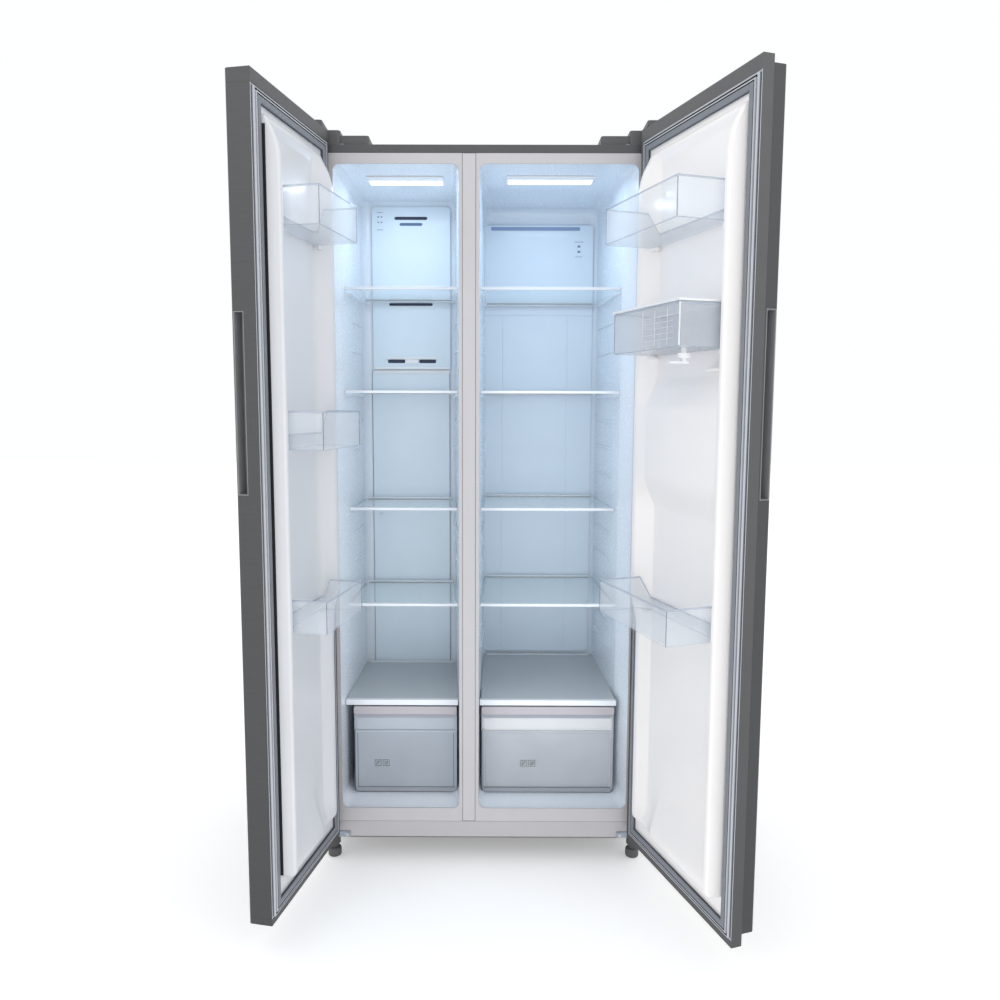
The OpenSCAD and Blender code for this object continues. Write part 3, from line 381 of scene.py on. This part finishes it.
def cavity(xl, xr, depth, mi=0, step=None):
    fil = 22.0
    loops = []
    ys = [2.5, 3.5, 6, 12, 22, 34, 45, 52, 60, 80, 100, 104, 130, 180, 240, 300, 350]
    ys = [y for y in ys if y < depth - fil - 4]
    if step:      # the floor rises over the machine room
        ys += [step - 2, step - 0.3, step, step + 3, 400]
    for y in ys:
        # the mouth's outward turn at its front edge (m) is computed but multiplied by zero below, so the mouth stays
        # straight
        m = 1.6 * (1 - min(1, (y - 2.5) / 4)) ** 2
        zf = smooth_interp([(2.5, 137), (8, 137.6), (20, 140.5), (34, 146), (45, 149.2), (56, 150)], y)
        if step and y >= step:
            zf = 330.0
        loops.append([(p[0], y, p[1]) for p in rrect(xl(y) - m * 0, xr(y) + m * 0, zf, 1716, 17 + 5 * min(1, y / 40), 8)])
    for i in range(9):
        a = math.pi / 2 * i / 8
        y = depth - fil + fil * math.sin(a)
        d = fil * (1 - math.cos(a))
        loops.append([(p[0], y, p[1]) for p in rrect(xl(y) + d, xr(y) - d, (330 if step else 150) + d * 0.5, 1716 - d, max(22 - d * 0.4, 4), 8)])
    v, f = loft(loops, True, False, True)
    return v, f, mi

def ledge(xw, side, y0, y1, z, h=9.0, d=8.0, mi=0):
    """a moulded ledge on a side wall, round at its front end. xw(y) is the wall, side +1 grows to +x"""
    loops = []
    n = 10
    for i in range(n + 1):
        s = i / n
        y = y0 + (y1 - y0) * s
        k = min(1, math.sqrt(max(0, 1 - (1 - min(1, (y - y0) / 16)) ** 2))) * min(1, (y1 - y) / 6 + 0.05)
        dd = d * max(k, 0.02)
        hh = h / 2 * (0.5 + 0.5 * max(k, 0.02))
        x = xw(y)
        prof = [(-1.0, -hh - 1.5), (0.0, -hh - 1.2), (dd * 0.55, -hh), (dd * 0.9, -hh * 0.7), (dd, -hh * 0.2), (dd, hh * 0.45), (dd * 0.9, hh * 0.85), (dd * 0.6, hh), (0.0, hh + 0.4), (-1.0, hh + 0.6)]
        loops.append([(x + side * px_, y, z + pz) for px_, pz in prof])
    v, f = loft(loops, True, True, True)
    return v, f, mi

SHELF = [1448, 1190, 887, 643, 401]
SHELF_Y = [112, 100, 140, 95, 55]
fz_parts = [cavity(fzl, fzr, 380)]
for z, y_ in zip(SHELF, SHELF_Y):
    fz_parts += [ledge(fzl, 1, y_ + 10, 364, z - 9.2), ledge(fzr, -1, y_ + 10, 364, z - 9.2)]
for z in (1372, 1296, 1112, 1040, 812, 738):
    fz_parts += [ledge(fzl, 1, 190, 352, z, 5, 4), ledge(fzr, -1, 190, 352, z, 5, 4)]
build("freezer_liner.moulded", fz_parts, "cabinet", ["cabinet_liner_left"], ["freezer_liner"], angle=50)
fr_parts = [cavity(frl, frr, 458, step=372)]
for z, y_ in zip(SHELF[:4], SHELF_Y):
    fr_parts += [ledge(frl, 1, y_ + 10, 438, z - 9.2), ledge(frr, -1, y_ + 10, 438, z - 9.2)]
fr_parts += [ledge(frl, 1, 158, 364, 392), ledge(frr, -1, 158, 364, 392, 9, 6)]
for z in (1372, 1296, 1112, 1040, 965, 812, 738, 560, 500):
    fr_parts += [ledge(frl, 1, 190, 420, z, 5, 4), ledge(frr, -1, 190, 420, z, 5, 4)]
build("fridge_liner.moulded", fr_parts, "cabinet", ["cabinet_liner_right"], ["fridge_liner"], angle=50)

# ------------------------------------------------------------------ door liners
def door_liner(name, at, w, e, body, slot, node, bulge, bins, bin_u):
    H1 = [(160, -8), (161, 4), (163, 14), (166, 21), (171, 27), (178, 29.5), (190, 30), (1600, 31), (1622, 30.5), (1642, 28), (1660, 23.5), (1676, 17), (1690, 9.5), (1700, 5), (1706, 2), (1710, -3), (1712, -8)]
    low = [(160, -8), (161, 0), (164, 7), (169, 11.5), (178, 13), (190, 13.5), (640, 14)]
    H2 = low + [(672, 15), (700, 22), (716, 27), (730, 29.5), (760, 30)] + H1[7:] if not bulge else low + [(660, 15), (690, 22), (706, 27), (720, 29.5), (750, 30)] + H1[7:]
    F = [(160, -8), (161, 2), (163, 11), (167, 18), (173, 22.5), (181, 24), (194, 23), (208, 19), (232, 10.5), (258, 3), (276, -0.6), (292, -2)]
    Fh = [(160, -8), (161, -1), (164, 5), (169, 8.5), (176, 9), (184, 7), (194, 3), (206, 0), (220, -2)]
    if bulge:
        B = [(918, -2), (930, -1), (945, 5.5), (975, 20), (990, 25), (1002, 26), (1138, 26), (1150, 25), (1166, 19), (1184, 12.5), (1196, 8), (1212, 0), (1222, -2)]
        F = F + B; Fh = Fh + B
    end = [(1668, -2), (1684, -1), (1696, 2.6), (1703, 3), (1708, 0), (1711, -4), (1712, -8)]
    F = F + end; Fh = Fh + end
    zs = sorted(set([v[0] for t_ in (H1, H2, F, Fh) for v in t_] + [200 + 40 * k for k in range(38)] + [162, 165, 168, 175, 186, 220, 245, 268, 1630, 1650, 1668, 1680, 1693]))
    loops = []
    def blend_end(z):   # the corner of the form in plan at its two ends
        return max(0.0, (172 - z) / 12) ** 2 * 9 + max(0.0, (z - 1700) / 12) ** 2 * 7
    for z in zs:
        c = blend_end(z)
        h1, h2, f, fh = (smooth_interp(t_, z) for t_ in (H1, H2, F, Fh))
        h1 = max(h1, -8 + 0.02); h2 = max(min(h2, 30), -8 + 0.02); f = max(f, -8 + 0.01); fh = max(fh, -8 + 0.01)
        lowr = z < 700
        end1 = w - e - 57
        knee = w - e - (96 if not bulge or z < 300 else 66)
        s = max(0.0, min(1.0, (z - 640) / 90))
        top_in = w - e - lerp(23, 21, s)
        top_out = w - e - lerp(10, 8, s)
        sec = [(4.2, -8.0), (30 + c, -8.0), (34 + c, -7.6), (36.6 + c * 0.8, h1 - 3), (40.5 + c * 0.6, h1), (48, h1), (51, h1 - 2 if h1 > f + 4 else h1),
               (56, f if h1 > f else f), (66, f), (knee - 18, f), (knee, (f + fh) / 2), (knee + 18 if not bulge or z < 300 else knee + 9, fh), (end1 + 2, fh), (top_in, h2 if h2 > fh else max(h2, fh)), (top_out, h2 if h2 > fh else max(h2, fh)),
               (w - e - 3.4, max(h2, fh) - 4), (w - e - c, -7.6), (w - e + 3, -8.0), (w - 18.2, -8.0)]
        rad = [0, 2, 3, 5, 4.5, 4.5, 6, 7, 5, 22, 34, 26, 24, 16, 7, 6, 3, 2, 0]
        pts = fillet(sec, rad, 4)
        loops.append([(u, y, z) for u, y in pts])
    v, f = loft(loops, False)
    parts = [(v, f, 0)]
    # flange above and below
    for za, zb in ((92.2, 160), (1712, 1753.8)):
        parts.append(([(4.2, -8, za), (w - 18.2, -8, za), (w - 18.2, -8, zb), (4.2, -8, zb)], [(0, 1, 2, 3)], 0))
    # lugs that carry the bins
    for z in bins:
        parts.append(rbox(50, bin_u[0] + 8, 2, 21, z - 9, z - 0.5, 2.2))
        parts.append(rbox(bin_u[1] - 8, w - e - 38, 0, 15, z - 9, z - 0.5, 2.2))
    if bulge:   # funnel ledge below the tank's tap
        parts.append(rbox(66, 112, -3, 20, 1222, 1230, 3))
    build(name, parts, body, [slot], [node], at, angle=60)

door_liner("left_door_liner.moulded", AT_LEFT, LW, 58, "left_door", "door_liner_left", "left_door_liner", False, [1504, 1064, 686], (57.4, LW - 107))
door_liner("right_door_liner.moulded", AT_RIGHT, RW, 54, "right_door", "door_liner_right", "right_door_liner", True, [1501, 688, 1265], (59.8, RW - 107))

# ------------------------------------------------------------------ gaskets
def gasket(name, at, w, body, node):
    """a mitred bellows seal: two folds in a lighter tone as painted highlight, with near-black grooves beside them as
    painted shade, then the magnet tube
    """
    u0, u1, z0, z1 = 4.5, w - 19.5, 76.4 + 19.4, 1782.6 - 32.5
    # material index 1: folds painted light (painted highlight); index 2: grooves painted near-black (painted shade)
    prof = [(0.3, -8, 0), (0.0, -5.0, 1), (0.6, -2.4, 1), (2.0, -1.6, 1), (3.4, -2.2, 2), (4.1, -5.2, 2), (5.6, -6.2, 2), (6.6, -4.0, 1), (7.2, -1.2, 1), (8.8, -0.5, 1),
            (10.2, -0.8, 2), (10.7, -3.6, 2), (11.6, -3.8, 2), (12.3, -1.2, 0), (13.4, -0.4, 0), (16.0, -0.3, 0), (18.6, -0.45, 0), (22.4, -0.3, 0), (24.2, -0.7, 0), (25, -1.9, 0),
            (24.9, -3.2, 2), (23.4, -4.2, 2), (22.8, -5.1, 2), (23.9, -6.0, 0), (25, -6.7, 0), (25, -8, 0)]
    loops = []
    for uu, zz, su, sz in ((u0, z0, 1, 1), (u1, z0, -1, 1), (u1, z1, -1, -1), (u0, z1, 1, -1)):
        loops.append([(uu + su * d, y, zz + sz * d) for d, y, _ in prof])
    loops.append(loops[0])
    v, f = loft(loops, True)
    n = len(prof)
    parts = [(v, [q for k, q in enumerate(f) if prof[k % n][2] == m], m) for m in (0, 1, 2)]
    build(name, parts, body, ["seal", "seal_light", "painted_gap_shade"], [node], at, angle=50)
gasket("left_door_gasket.bellows", AT_LEFT, LW, "left_door", "left_door_gasket")
gasket("right_door_gasket.bellows", AT_RIGHT, RW, "right_door", "right_door_gasket")

# ------------------------------------------------------------------ door bins
def tray(name, at, outline, z0, z1, body, node, wall="bin_clear", edge="bin_edge", rc=4.5, back=30, posts=True):
    n = 3
    def top(y, z):      # the rim drops to a low lip at the back
        s_ = max(0.0, min(1.0, (y - 8.5) / 5.0))
        s_ = s_ * s_ * (3 - 2 * s_)
        return z - (z1 - z0 - back) * (1 - s_)
    y1 = max(p[1] for p in outline)
    pts0 = []
    m = len(outline)
    for i, p in enumerate(outline):
        pts0.append(p)
        q = outline[(i + 1) % m]
        if abs(p[0] - q[0]) < 1e-6:      # a side wall: steps for the rim's drop
            ys = [8.5, 10, 11.5, 13.5, 22, 60]
            ys = [v for v in ys if min(p[1], q[1]) + 6 < v < max(p[1], q[1]) - 6 or (min(p[1], q[1]) < 1 and 8 < v < max(p[1], q[1]) - 6)]
            for v in (ys if q[1] > p[1] else ys[::-1]):
                pts0.append((p[0], v))
    def loop(d, z, r, up=False):
        o = inset(outline, d)
        full = []
        for i, p in enumerate(o):
            q = o[(i + 1) % m]
            full.append((p, max(r, 0.3)))
            if abs(p[0] - q[0]) < 1e-6:
                ys = [8.5, 10, 11.5, 13.5, 24, 60]
                lo_, hi_ = min(outline[i][1], outline[(i + 1) % m][1]), max(outline[i][1], outline[(i + 1) % m][1])
                ys = [v for v in ys if lo_ + 7.5 < v < hi_ - 7.5]
                for v in (ys if q[1] > p[1] else ys[::-1]):
                    full.append(((p[0], v), 0.3))
        c = fillet([f_[0] for f_ in full], [f_[1] for f_ in full], n, True)
        return [(x, y, top(y, z) if up else z) for x, y in c]
    out = [loop(3.4, z0, rc - 2), loop(1.8, z0 + 0.5, rc - 1), loop(0.9, z0 + 1.7, rc)]
    wallv = [loop(0.8, z0 + 2.0, rc), loop(0.6, z1 - 4.4, rc, True)]
    rim = [loop(0.6, z1 - 4.4, rc, True), loop(0.1, z1 - 3.8, rc, True), loop(0.0, z1 - 1.0, rc, True), loop(0.5, z1 - 0.2, rc, True), loop(1.3, z1, rc - 1, True), loop(2.2, z1 - 0.4, rc - 2, True), loop(2.6, z1 - 1.2, rc - 2, True)]
    inn = [loop(2.6, z1 - 1.2, rc - 2, True), loop(2.8, z0 + 4.4, rc - 2)]
    fl = [loop(2.8, z0 + 4.4, rc - 2), loop(3.6, z0 + 2.9, rc - 3), loop(5.0, z0 + 2.4, rc - 4)]
    parts = []
    v, f = loft(out, True, True, False)
    parts.append((v, [q for q in f if len(q) == 4], 1))
    parts.append((v, [q for q in f if len(q) > 4], 0))
    v, f = loft([out[-1], wallv[0]], True); parts.append((v, f, 1))
    v, f = loft(wallv, True); parts.append((v, f, 0))
    v, f = loft(rim, True); parts.append((v, f, 1))
    v, f = loft(inn, True); parts.append((v, f, 0))
    v, f = loft(fl, True, False, True); parts.append((v, f, 0))
    if posts:     # thicker, darker corners where two walls meet
        for p in outline:
            if p[1] > 60:
                sx = 1 if p[0] < 150 else -1
                x_ = p[0] + sx * 1.5
                parts.append(rbox(min(x_, x_ + sx * 1.7), max(x_, x_ + sx * 1.7), y1 - 3.0, y1 - 1.3, z0 + 2, z1 - 2.5, 0.6, 2, 2))
        u_ = outline[0][0]
        parts.append(rbox(u_ + 0.9, u_ + 2.9, 10.5, 13.0, z0 + 3, z1 - 9, 0.7, 1, 2))
    return build(name, parts, body, [wall, edge, "bin_dark"], [node], at, angle=45)

LB = [(57.4, 0), (LW - 114, 0), (LW - 107, 6.8), (LW - 107, 102), (57.4, 102)]
for nm, z0, z1 in (("left_bin_top", 1504, 1581), ("left_bin_middle", 1064, 1143), ("left_bin_bottom", 686, 757)):
    tray(nm + ".clear", AT_LEFT, LB, z0, z1, BODY[nm], nm)
RB = [(59.8, 0), (RW - 110, 0), (RW - 87, 20.8), (RW - 87, 123.8), (59.8, 123.8)]
for nm, z0, z1 in (("right_bin_top", 1501, 1578), ("right_bin_bottom", 688, 763)):
    tray(nm + ".clear", AT_RIGHT, RB, z0, z1, BODY[nm], nm)
TB = [(59.8, 0), (RW - 113, 0), (RW - 113, 112), (59.8, 112)]
tray("water_tank.clear", AT_RIGHT, TB, 1265, 1351, BODY["water_tank"], "water_tank", "tank_clear", "bin_edge", back=84)
# upright post and level marks on the tank
tp = [rbox(60.6, 63.4, 109.2, 111.6, 1268, 1349, 0.8)]
for k in range(5):
    tp.append(rbox(84, 190, 111.2, 111.95, 1283 + k * 11, 1283.8 + k * 11, 0.25))
for u_ in (104, 152, 200):
    tp.append(rbox(u_, u_ + 0.8, 111.2, 111.9, 1272, 1342, 0.25))
build("water_tank.post", tp, BODY["water_tank"], ["lid_white"], (), AT_RIGHT)

# ------------------------------------------------------------------ drawers
def drawer(nm, xf0, xf1, xb0, xb1, z0, z1, y0, y1, mat, win, fridge):
    body = BODY[nm]
    parts = []
    n = 5
    plan = [(xf0 + 3, y0 + 4), (xf1 - 3, y0 + 4), (xb1, y1), (xb0, y1)]
    def loop(d, z, r):
        o = inset(plan, d)
        return [(x, y, z) for x, y in fillet(o, [max(r, 0.3)] * 4, n, True)]
    zt = z1 - 12
    shell = [loop(7, z0, 8), loop(3, z0 + 1.4, 11), loop(0.6, z0 + 5, 12), loop(0, z0 + 10, 12), loop(0, zt - 6, 12), loop(-0.01, zt - 5, 12), loop(0.2, zt - 0.6, 12), loop(1.2, zt, 12), loop(2.4, zt - 0.6, 11),
             loop(3, zt - 4, 10), loop(3, z0 + 12, 10), loop(4.4, z0 + 6, 9), loop(8, z0 + 3.4, 6)]
    v, f = loft(shell, True, True, True); parts.append((v, f, 0))
    # front plate: rounded in its outline and at its edges
    def plate(x0, x1, za, zb, ya, yb, r, mi, e=1.4):
        ls = []
        for d, y in ((e, yb), (0.0, yb - e), (0.0, ya + e), (e * 0.3, ya + e * 0.3), (e, ya)):
            ls.append([(p[0], y, p[1]) for p in rrect(x0 + d, x1 - d, za + d, zb - d, max(r - d, 0.4), 6)])
        vv, ff_ = loft(ls, True, True, True)
        return vv, ff_, mi
    parts.append(plate(xf0, xf1, z0, 318, y0, y0 + 5, 9, 0))              # main face
    parts.append(plate(xf0 + 3, xf1 - 3, 316, 356, y0 + 3.2, y0 + 5.2, 2, 2))    # window
    parts.append(plate(xf0 + 1, xf1 - 1, 350, 366, y0 + 1.0, y0 + 6, 2, 3))      # lower band of the grip
    parts.append(plate(xf0, xf1, 362, z1, y0 - 8, y0 + 6, 5, 1, 2.2))            # grip bar
    # upright sides of the front frame
    parts.append(plate(xf0, xf0 + 7, 300, 366, y0 + 0.6, y0 + 5.4, 2, 0, 0.8))
    parts.append(plate(xf1 - 7, xf1, 300, 366, y0 + 0.6, y0 + 5.4, 2, 0, 0.8))
    # dark bead round the lower edge
    ls = []
    for d, y in ((0.2, y0 + 1.8), (-0.0, y0 + 0.6), (0.8, y0 - 0.2), (2.4, y0 - 0.2), (3.0, y0 + 0.6)):
        pts = rrect(xf0 + d, xf1 - d, z0 + d, 322, max(9 - d, 1), 6)
        k = len(pts)
        ls.append([(p[0], y, p[1]) for p in pts[7:]])   # open at its top
    v, f = loft(ls, False); parts.append((v, f, 4))
    parts.append(plate(xf0 + 4, xf1 - 4, z0 + 1, z0 + 12, y0 - 0.8, y0 + 2, 5, 5, 0.6))
    parts.append(plate(xf0 + 5, xf1 - 5, 313.4, 315.2, y0 - 0.5, y0 + 1, 0.8, 6, 0.3))
    parts.append(plate(xf0 + 6, xf1 - 6, z0 + 13, z0 + 14.4, y0 - 0.9, y0 + 1, 0.6, 4, 0.3))      # line above the foot
    for xx in (xf0 + 8, xf1 - 9.6):
        parts.append(plate(xx, xx + 1.3, z0 + 16, 311, y0 - 0.7, y0 + 1, 0.6, 6 if fridge else 4, 0.3))
    o = build(nm + ".clear", parts, body, [mat, "drawer_bar", win, "drawer_band", "drawer_bead", "drawer_band", "seal_light"], [nm], angle=45)
    return o
drawer("freezer_drawer", -335, -69, -332, -88, 151, 384, 59, 350, "drawer_left", "window_left", False)
drawer("fridge_drawer", -6, 336, -2, 324, 151, 384, 59, 350, "drawer_right", "window_right", True)

def marks(nm, x0, z0, s, y, body, mat="mark"):
    """two small square marks: a leaf-like stroke and a drop-like ring"""
    parts = []
    for k in range(2):
        xa = x0 + k * (s * 1.25)
        for (a, b, c, d) in ((xa, xa + s, z0, z0 + 0.9), (xa, xa + s, z0 + s - 0.9, z0 + s), (xa, xa + 0.9, z0, z0 + s), (xa + s - 0.9, xa + s, z0, z0 + s)):
            parts.append(rbox(a, b, y - 0.25, y + 0.3, c, d, 0.12, 0, 1))
        cxx, czz, rr_ = xa + s / 2, z0 + s / 2, s * 0.25
        ring = []
        for i in range(17):
            a = math.pi * 2 * i / 16 if k else math.pi * (0.25 + 1.2 * i / 16)
            for q in (rr_ - 0.45, rr_ + 0.45):
                ring.append((cxx + q * math.cos(a), y - 0.2, czz + q * math.sin(a)))
        parts.append((ring, [(2 * i, 2 * i + 1, 2 * i + 3, 2 * i + 2) for i in range(16)], 0))
        parts.append(([(xa + s * 0.25, y - 0.2, z0 + s * 0.25), (xa + s * 0.33, y - 0.2, z0 + s * 0.2), (xa + s * 0.78, y - 0.2, z0 + s * 0.72), (xa + s * 0.72, y - 0.2, z0 + s * 0.78)], [(0, 1, 2, 3)], 0))
    build(nm, parts, body, [mat], ())
marks("freezer_drawer.marks", -283, 221, 17, 58.6, BODY["freezer_drawer"])
marks("fridge_drawer.marks", 95, 221, 17, 58.6, BODY["fridge_drawer"])

build("mullion_cover.strip", [rbox(-52.1, -21.5, -0.1, 1.0, 103.6, 1739.4, 0.5, 0, 2),
      rbox(-53.1, -51.9, -0.05, 0.35, 102.4, 1739.8, 0.1, 1, 1), rbox(-21.7, -20.5, -0.05, 0.35, 102.4, 1739.8, 0.1, 1, 1),
      rbox(-53, -20.6, -0.05, 0.35, 102.0, 103.4, 0.1, 1, 1)], "cabinet", ["mullion", "joint_dark"], ["mullion_cover"])
# ------------------------------------------------------------------ duct covers: small controls, and dark boxes behind the slots as painted shade
def painted_slot_shade(nm, rects, y, mat="slot_dark"):
    # dark, blue and pale boxes behind the openings: painted shade inside the slots
    parts = []
    for x0, x1, z0, z1 in rects:
        parts.append(rbox(x0, x1, y, y + 1.2, z0, z1, 0.4, 0, 1))
    build(nm, parts, "cabinet", [mat], ())
painted_slot_shade("freezer_duct_slots", [(-256, -162, 1668, 1679), (-273, -148, 1432, 1442), (-278, -227, 1272, 1284), (-189, -139, 1272, 1284)], 375.6)
painted_slot_shade("freezer_duct_slot_low", [(-242, -176, 1652, 1662)], 374.6, "slot_blue")
painted_slot_shade("fridge_duct_slots", [(14, 275, 1655.5, 1668)], 452.4, "slot_pale")
ctl = []
for k, (x, z) in enumerate([(-300, 1677), (-291, 1677), (-300, 1662), (-291, 1662)]):
    ctl.append(rbox(x - 2.2, x + 2.2, 371.4, 372.4, z - 1.6, z + 1.6, 0.4))
ctl.append(rbox(-304, -287, 371.5, 372.4, 1641, 1642.4, 0.3))
ctl.append(rbox(-304, -287, 371.5, 372.4, 1688, 1689.2, 0.3))
build("freezer_controls", ctl, "cabinet", ["mark_blue"], ())
ctl = []
for x, z in ((270, 1612), (270, 1597)):
    ctl.append(rbox(x - 4, x + 4, 449.4, 450.4, z - 3, z + 3, 0.5))
for x0, x1, z in ((258, 284, 1624), (260, 280, 1582)):
    ctl.append(rbox(x0, x1, 449.5, 450.4, z, z + 1.3, 0.3))
build("fridge_controls", ctl, "cabinet", ["mark_blue"], ())
# dark joints beside the rear panels
build("rear_joints", [rbox(-323.2, -322.0, 375.2, 377, 304, 1252, 0.4, 0, 1), rbox(-102.0, -100.8, 375.2, 377, 304, 1252, 0.4, 0, 1),
      rbox(-319.6, -318.5, 372.6, 374.4, 1262, 1692, 0.4, 1, 1), rbox(-99, -97.9, 372.6, 374.4, 1262, 1692, 0.4, 1, 1),
      rbox(312, 313, 450.4, 452, 1424, 1660, 0.4, 1, 1), rbox(6, 302, 450.2, 452, 1672.2, 1673.2, 0.4, 1, 1)], "cabinet", ["joint_blue", "joint_pale"], ())
# raised lip above the lower slot and the step below it
build("freezer_duct_lip", [rbox(-280, -138, 366, 372.6, 1283.5, 1291, 2.0), rbox(-318, -99.5, 367.5, 373, 1255.5, 1262, 1.6),
      rbox(-227, -190, 368, 372.6, 1271, 1285, 0.8), rbox(-316, -101, 374.6, 376.6, 1243, 1253, 0.8)], "cabinet", ["lid_white"], ())

# ------------------------------------------------------------------ door edge lines: pale lines as painted highlight, dark lines as painted shade
def edge_highlight_shade_lines(nm, at, w, body, y0):
    # pale lines are painted highlight on the bright edges; near-black lines are painted shade in the gaps, and on the
    # left door's ridge wall beside the gasket
    parts = [rbox(0.5, 2.3, -8.5, -7.2, 92, 1754, 0.4, 0, 1), rbox(2.3, 4.4, -8.3, -7.7, 92, 1754, 0.2, 1, 1)]
    parts += [rbox(3, w - 17, -8.4, -7.4, 1751.2, 1753.6, 0.3, 0, 1)]
    if w < 400: parts += [rbox(33.4, 35.4, -7.5, 3.2, 170, 1690, 0.5, 1, 2)]
    parts += [rbox(w - 19, w - 17.2, -8.3, -7.6, 92, 1754, 0.3, 1, 1)]
    build(nm, parts, body, ["seal_light", "painted_gap_shade"], (), at)
edge_highlight_shade_lines("left_edge_highlight_shade_lines", AT_LEFT, LW, "left_door", -9)
edge_highlight_shade_lines("right_edge_highlight_shade_lines", AT_RIGHT, RW, "right_door", -9)

# lamp housings: a pale plate with a narrower bright diffuser set in it
lamp = []
for x0, x1, y0, y1 in ((-294, -103, 105, 172), (53, 271.5, 99, 162)):
    lamp.append(rbox(x0, x1, y0, y1, 1711.4, 1715.8, 1.4, 0, 3))
    lamp.append(rbox(x0 + 5, x1 - 5, y1 - 36, y1 - 1.5, 1710.1, 1713, 1.2, 1, 3))
build("light_covers.housing", lamp, "cabinet", ["lid_white", "light_lens"], ["light_covers"])
# faint frosting on the lowest glass, over the drawers
build("cover_tint", [rbox(-350, -69, 63, 364, 401.05, 401.35, 0.1, 0, 1), rbox(-6, 337, 63, 440, 401.05, 401.35, 0.1, 0, 1)], "cabinet", ["cover_frost"], ())

# ------------------------------------------------------------------ foam, kept below the moulded liners
def door_foam(nm, at, w, body, y1, room=None):
    blocks = [rbox(34, w - 20, -50, y1, 96, 1750, 5)]
    if room:      # left open round the dispenser's housing
        u0, u1, z0, z1 = room
        blocks = [rbox(34, w - 20, -50, y1, 96, z0, 3), rbox(34, w - 20, -50, y1, z1, 1750, 3),
                  rbox(34, u0, -50, y1, z0 + 0.2, z1 - 0.2, 3), rbox(u1, w - 20, -50, y1, z0 + 0.2, z1 - 0.2, 3)]
    build(nm, blocks, body, ["foam"], [nm.split(".")[0]], at)
door_foam("left_door_foam.core", AT_LEFT, LW, "left_door", -11)
door_foam("right_door_foam.core", AT_RIGHT, RW, "right_door", -33, (121, 317, 952, 1188))

# ------------------------------------------------------------------ every other CAD node, with softened edges
for nd, wd, sg in (("cabinet_shell", 0.45, 2), ("front_frame", 0.5, 2), ("bottom_rail", 0.5, 2), ("base_pan", 0.5, 1), ("back_panel", 0.15, 1),
                   ("machine_cover", 0.25, 1), ("freezer_duct_cover", 0.7, 2), ("freezer_lower_panel", 0.6, 2), ("fridge_duct_cover", 0.7, 2), 
                   ("freezer_shelves", 0.8, 2), ("fridge_shelves", 0.8, 2), ("freezer_shelf_trims", 0.9, 2), ("fridge_shelf_trims", 0.9, 2),
                   ("top_hinges", 0.5, 2), ("lower_hinges", 0.5, 2), ("hinge_covers", 1.4, 3), ("screws", 0.3, 2), ("power_inlet", 0.6, 2), ("roller_axles", 0.4, 2),
                   ("left_door_skin", 0.3, 2), ("left_door_caps", 1.0, 3), ("right_door_panel", 0.3, 2), ("right_door_frame", 0.9, 3),
                   ("left_door_handle", 0.8, 2), ("right_door_handle", 0.8, 2), ("dispenser_housing", 0.9, 3), ("dispenser_lever", 0.8, 2), ("drip_tray", 0.6, 2),
                   ("tank_lid", 1.0, 3), ("tap_valve", 0.8, 2), ("left_foot", 0.8, 2), ("right_foot", 0.8, 2), ("left_roller", 0.8, 2), ("right_roller", 0.8, 2),
                   ("evaporator_fan", 0.3, 1), ("condenser_fan", 0.3, 1), ("compressor", 0.6, 2), ("drain_pan", 0.5, 1)):
    refine(nd, wd, sg)
for nd in NODES:
    if not NODES[nd].hide_render:
        NODES[nd].data.materials.clear()
        NODES[nd].data.materials.append(MAT[SLOT[nd]])

# ------------------------------------------------------------------ floor, light
fm = bpy.data.meshes.new("floor")
s_ = 14.0
fm.from_pydata([(-s_, -s_, 0), (s_, -s_, 0), (s_, s_, 0), (-s_, s_, 0)], [], [(0, 1, 2, 3)])
floor = bpy.data.objects.new("floor", fm)
scene.collection.objects.link(floor)
fm.materials.append(material("floor_pale", (0.95, 0.95, 0.95), 0.75, 0, 0.004, 2, 0.01, 80, emit=((1, 1, 1), 0.26)))

world = bpy.data.worlds.new("studio")
scene.world = world
world.use_nodes = True
world.node_tree.nodes["Background"].inputs["Color"].default_value = (0.97, 0.985, 1.0, 1)
world.node_tree.nodes["Background"].inputs["Strength"].default_value = 1.02

def area(name, loc, target, size, power, color=(1, 1, 1), size_y=None):
    d = bpy.data.lights.new(name, "AREA")
    d.shape = "RECTANGLE"
    d.size, d.size_y = size, size_y or size
    d.energy = power
    d.color = color
    o = bpy.data.objects.new(name, d)
    o.location = loc
    o.rotation_euler = (Vector(target) - Vector(loc)).to_track_quat("-Z", "Y").to_euler()
    scene.collection.objects.link(o)
    return o
area("key_left", (-2.6, -3.0, 3.4), (0, 0, 1.0), 2.2, 4, (1, 0.99, 0.98))
area("key_right", (2.6, -3.0, 3.4), (0, 0, 1.0), 2.2, 4, (1, 0.98, 0.97))
area("front_fill", (0, -4.6, 1.4), (0, 0, 0.9), 2.6, 5, (1, 0.985, 0.98))
area("freezer_led", (-0.1985, 0.138, 1.7085), (-0.1985, 0.138, 0), 0.18, 0.50, (0.72, 0.86, 1.0), 0.06)
area("fridge_led", (0.162, 0.13, 1.7085), (0.162, 0.13, 0), 0.2, 0.62, (0.68, 0.83, 1.0), 0.06)
area("freezer_fill", (-0.205, -0.03, 0.88), (-0.205, 0.5, 0.88), 0.24, 0.37, (0.86, 0.93, 1.0), 1.15)
area("fridge_fill", (0.172, -0.03, 0.88), (0.172, 0.5, 0.88), 0.3, 0.57, (0.86, 0.93, 1.0), 1.15)
scene.view_settings.view_transform = "Standard"
scene.view_settings.exposure = 0.0
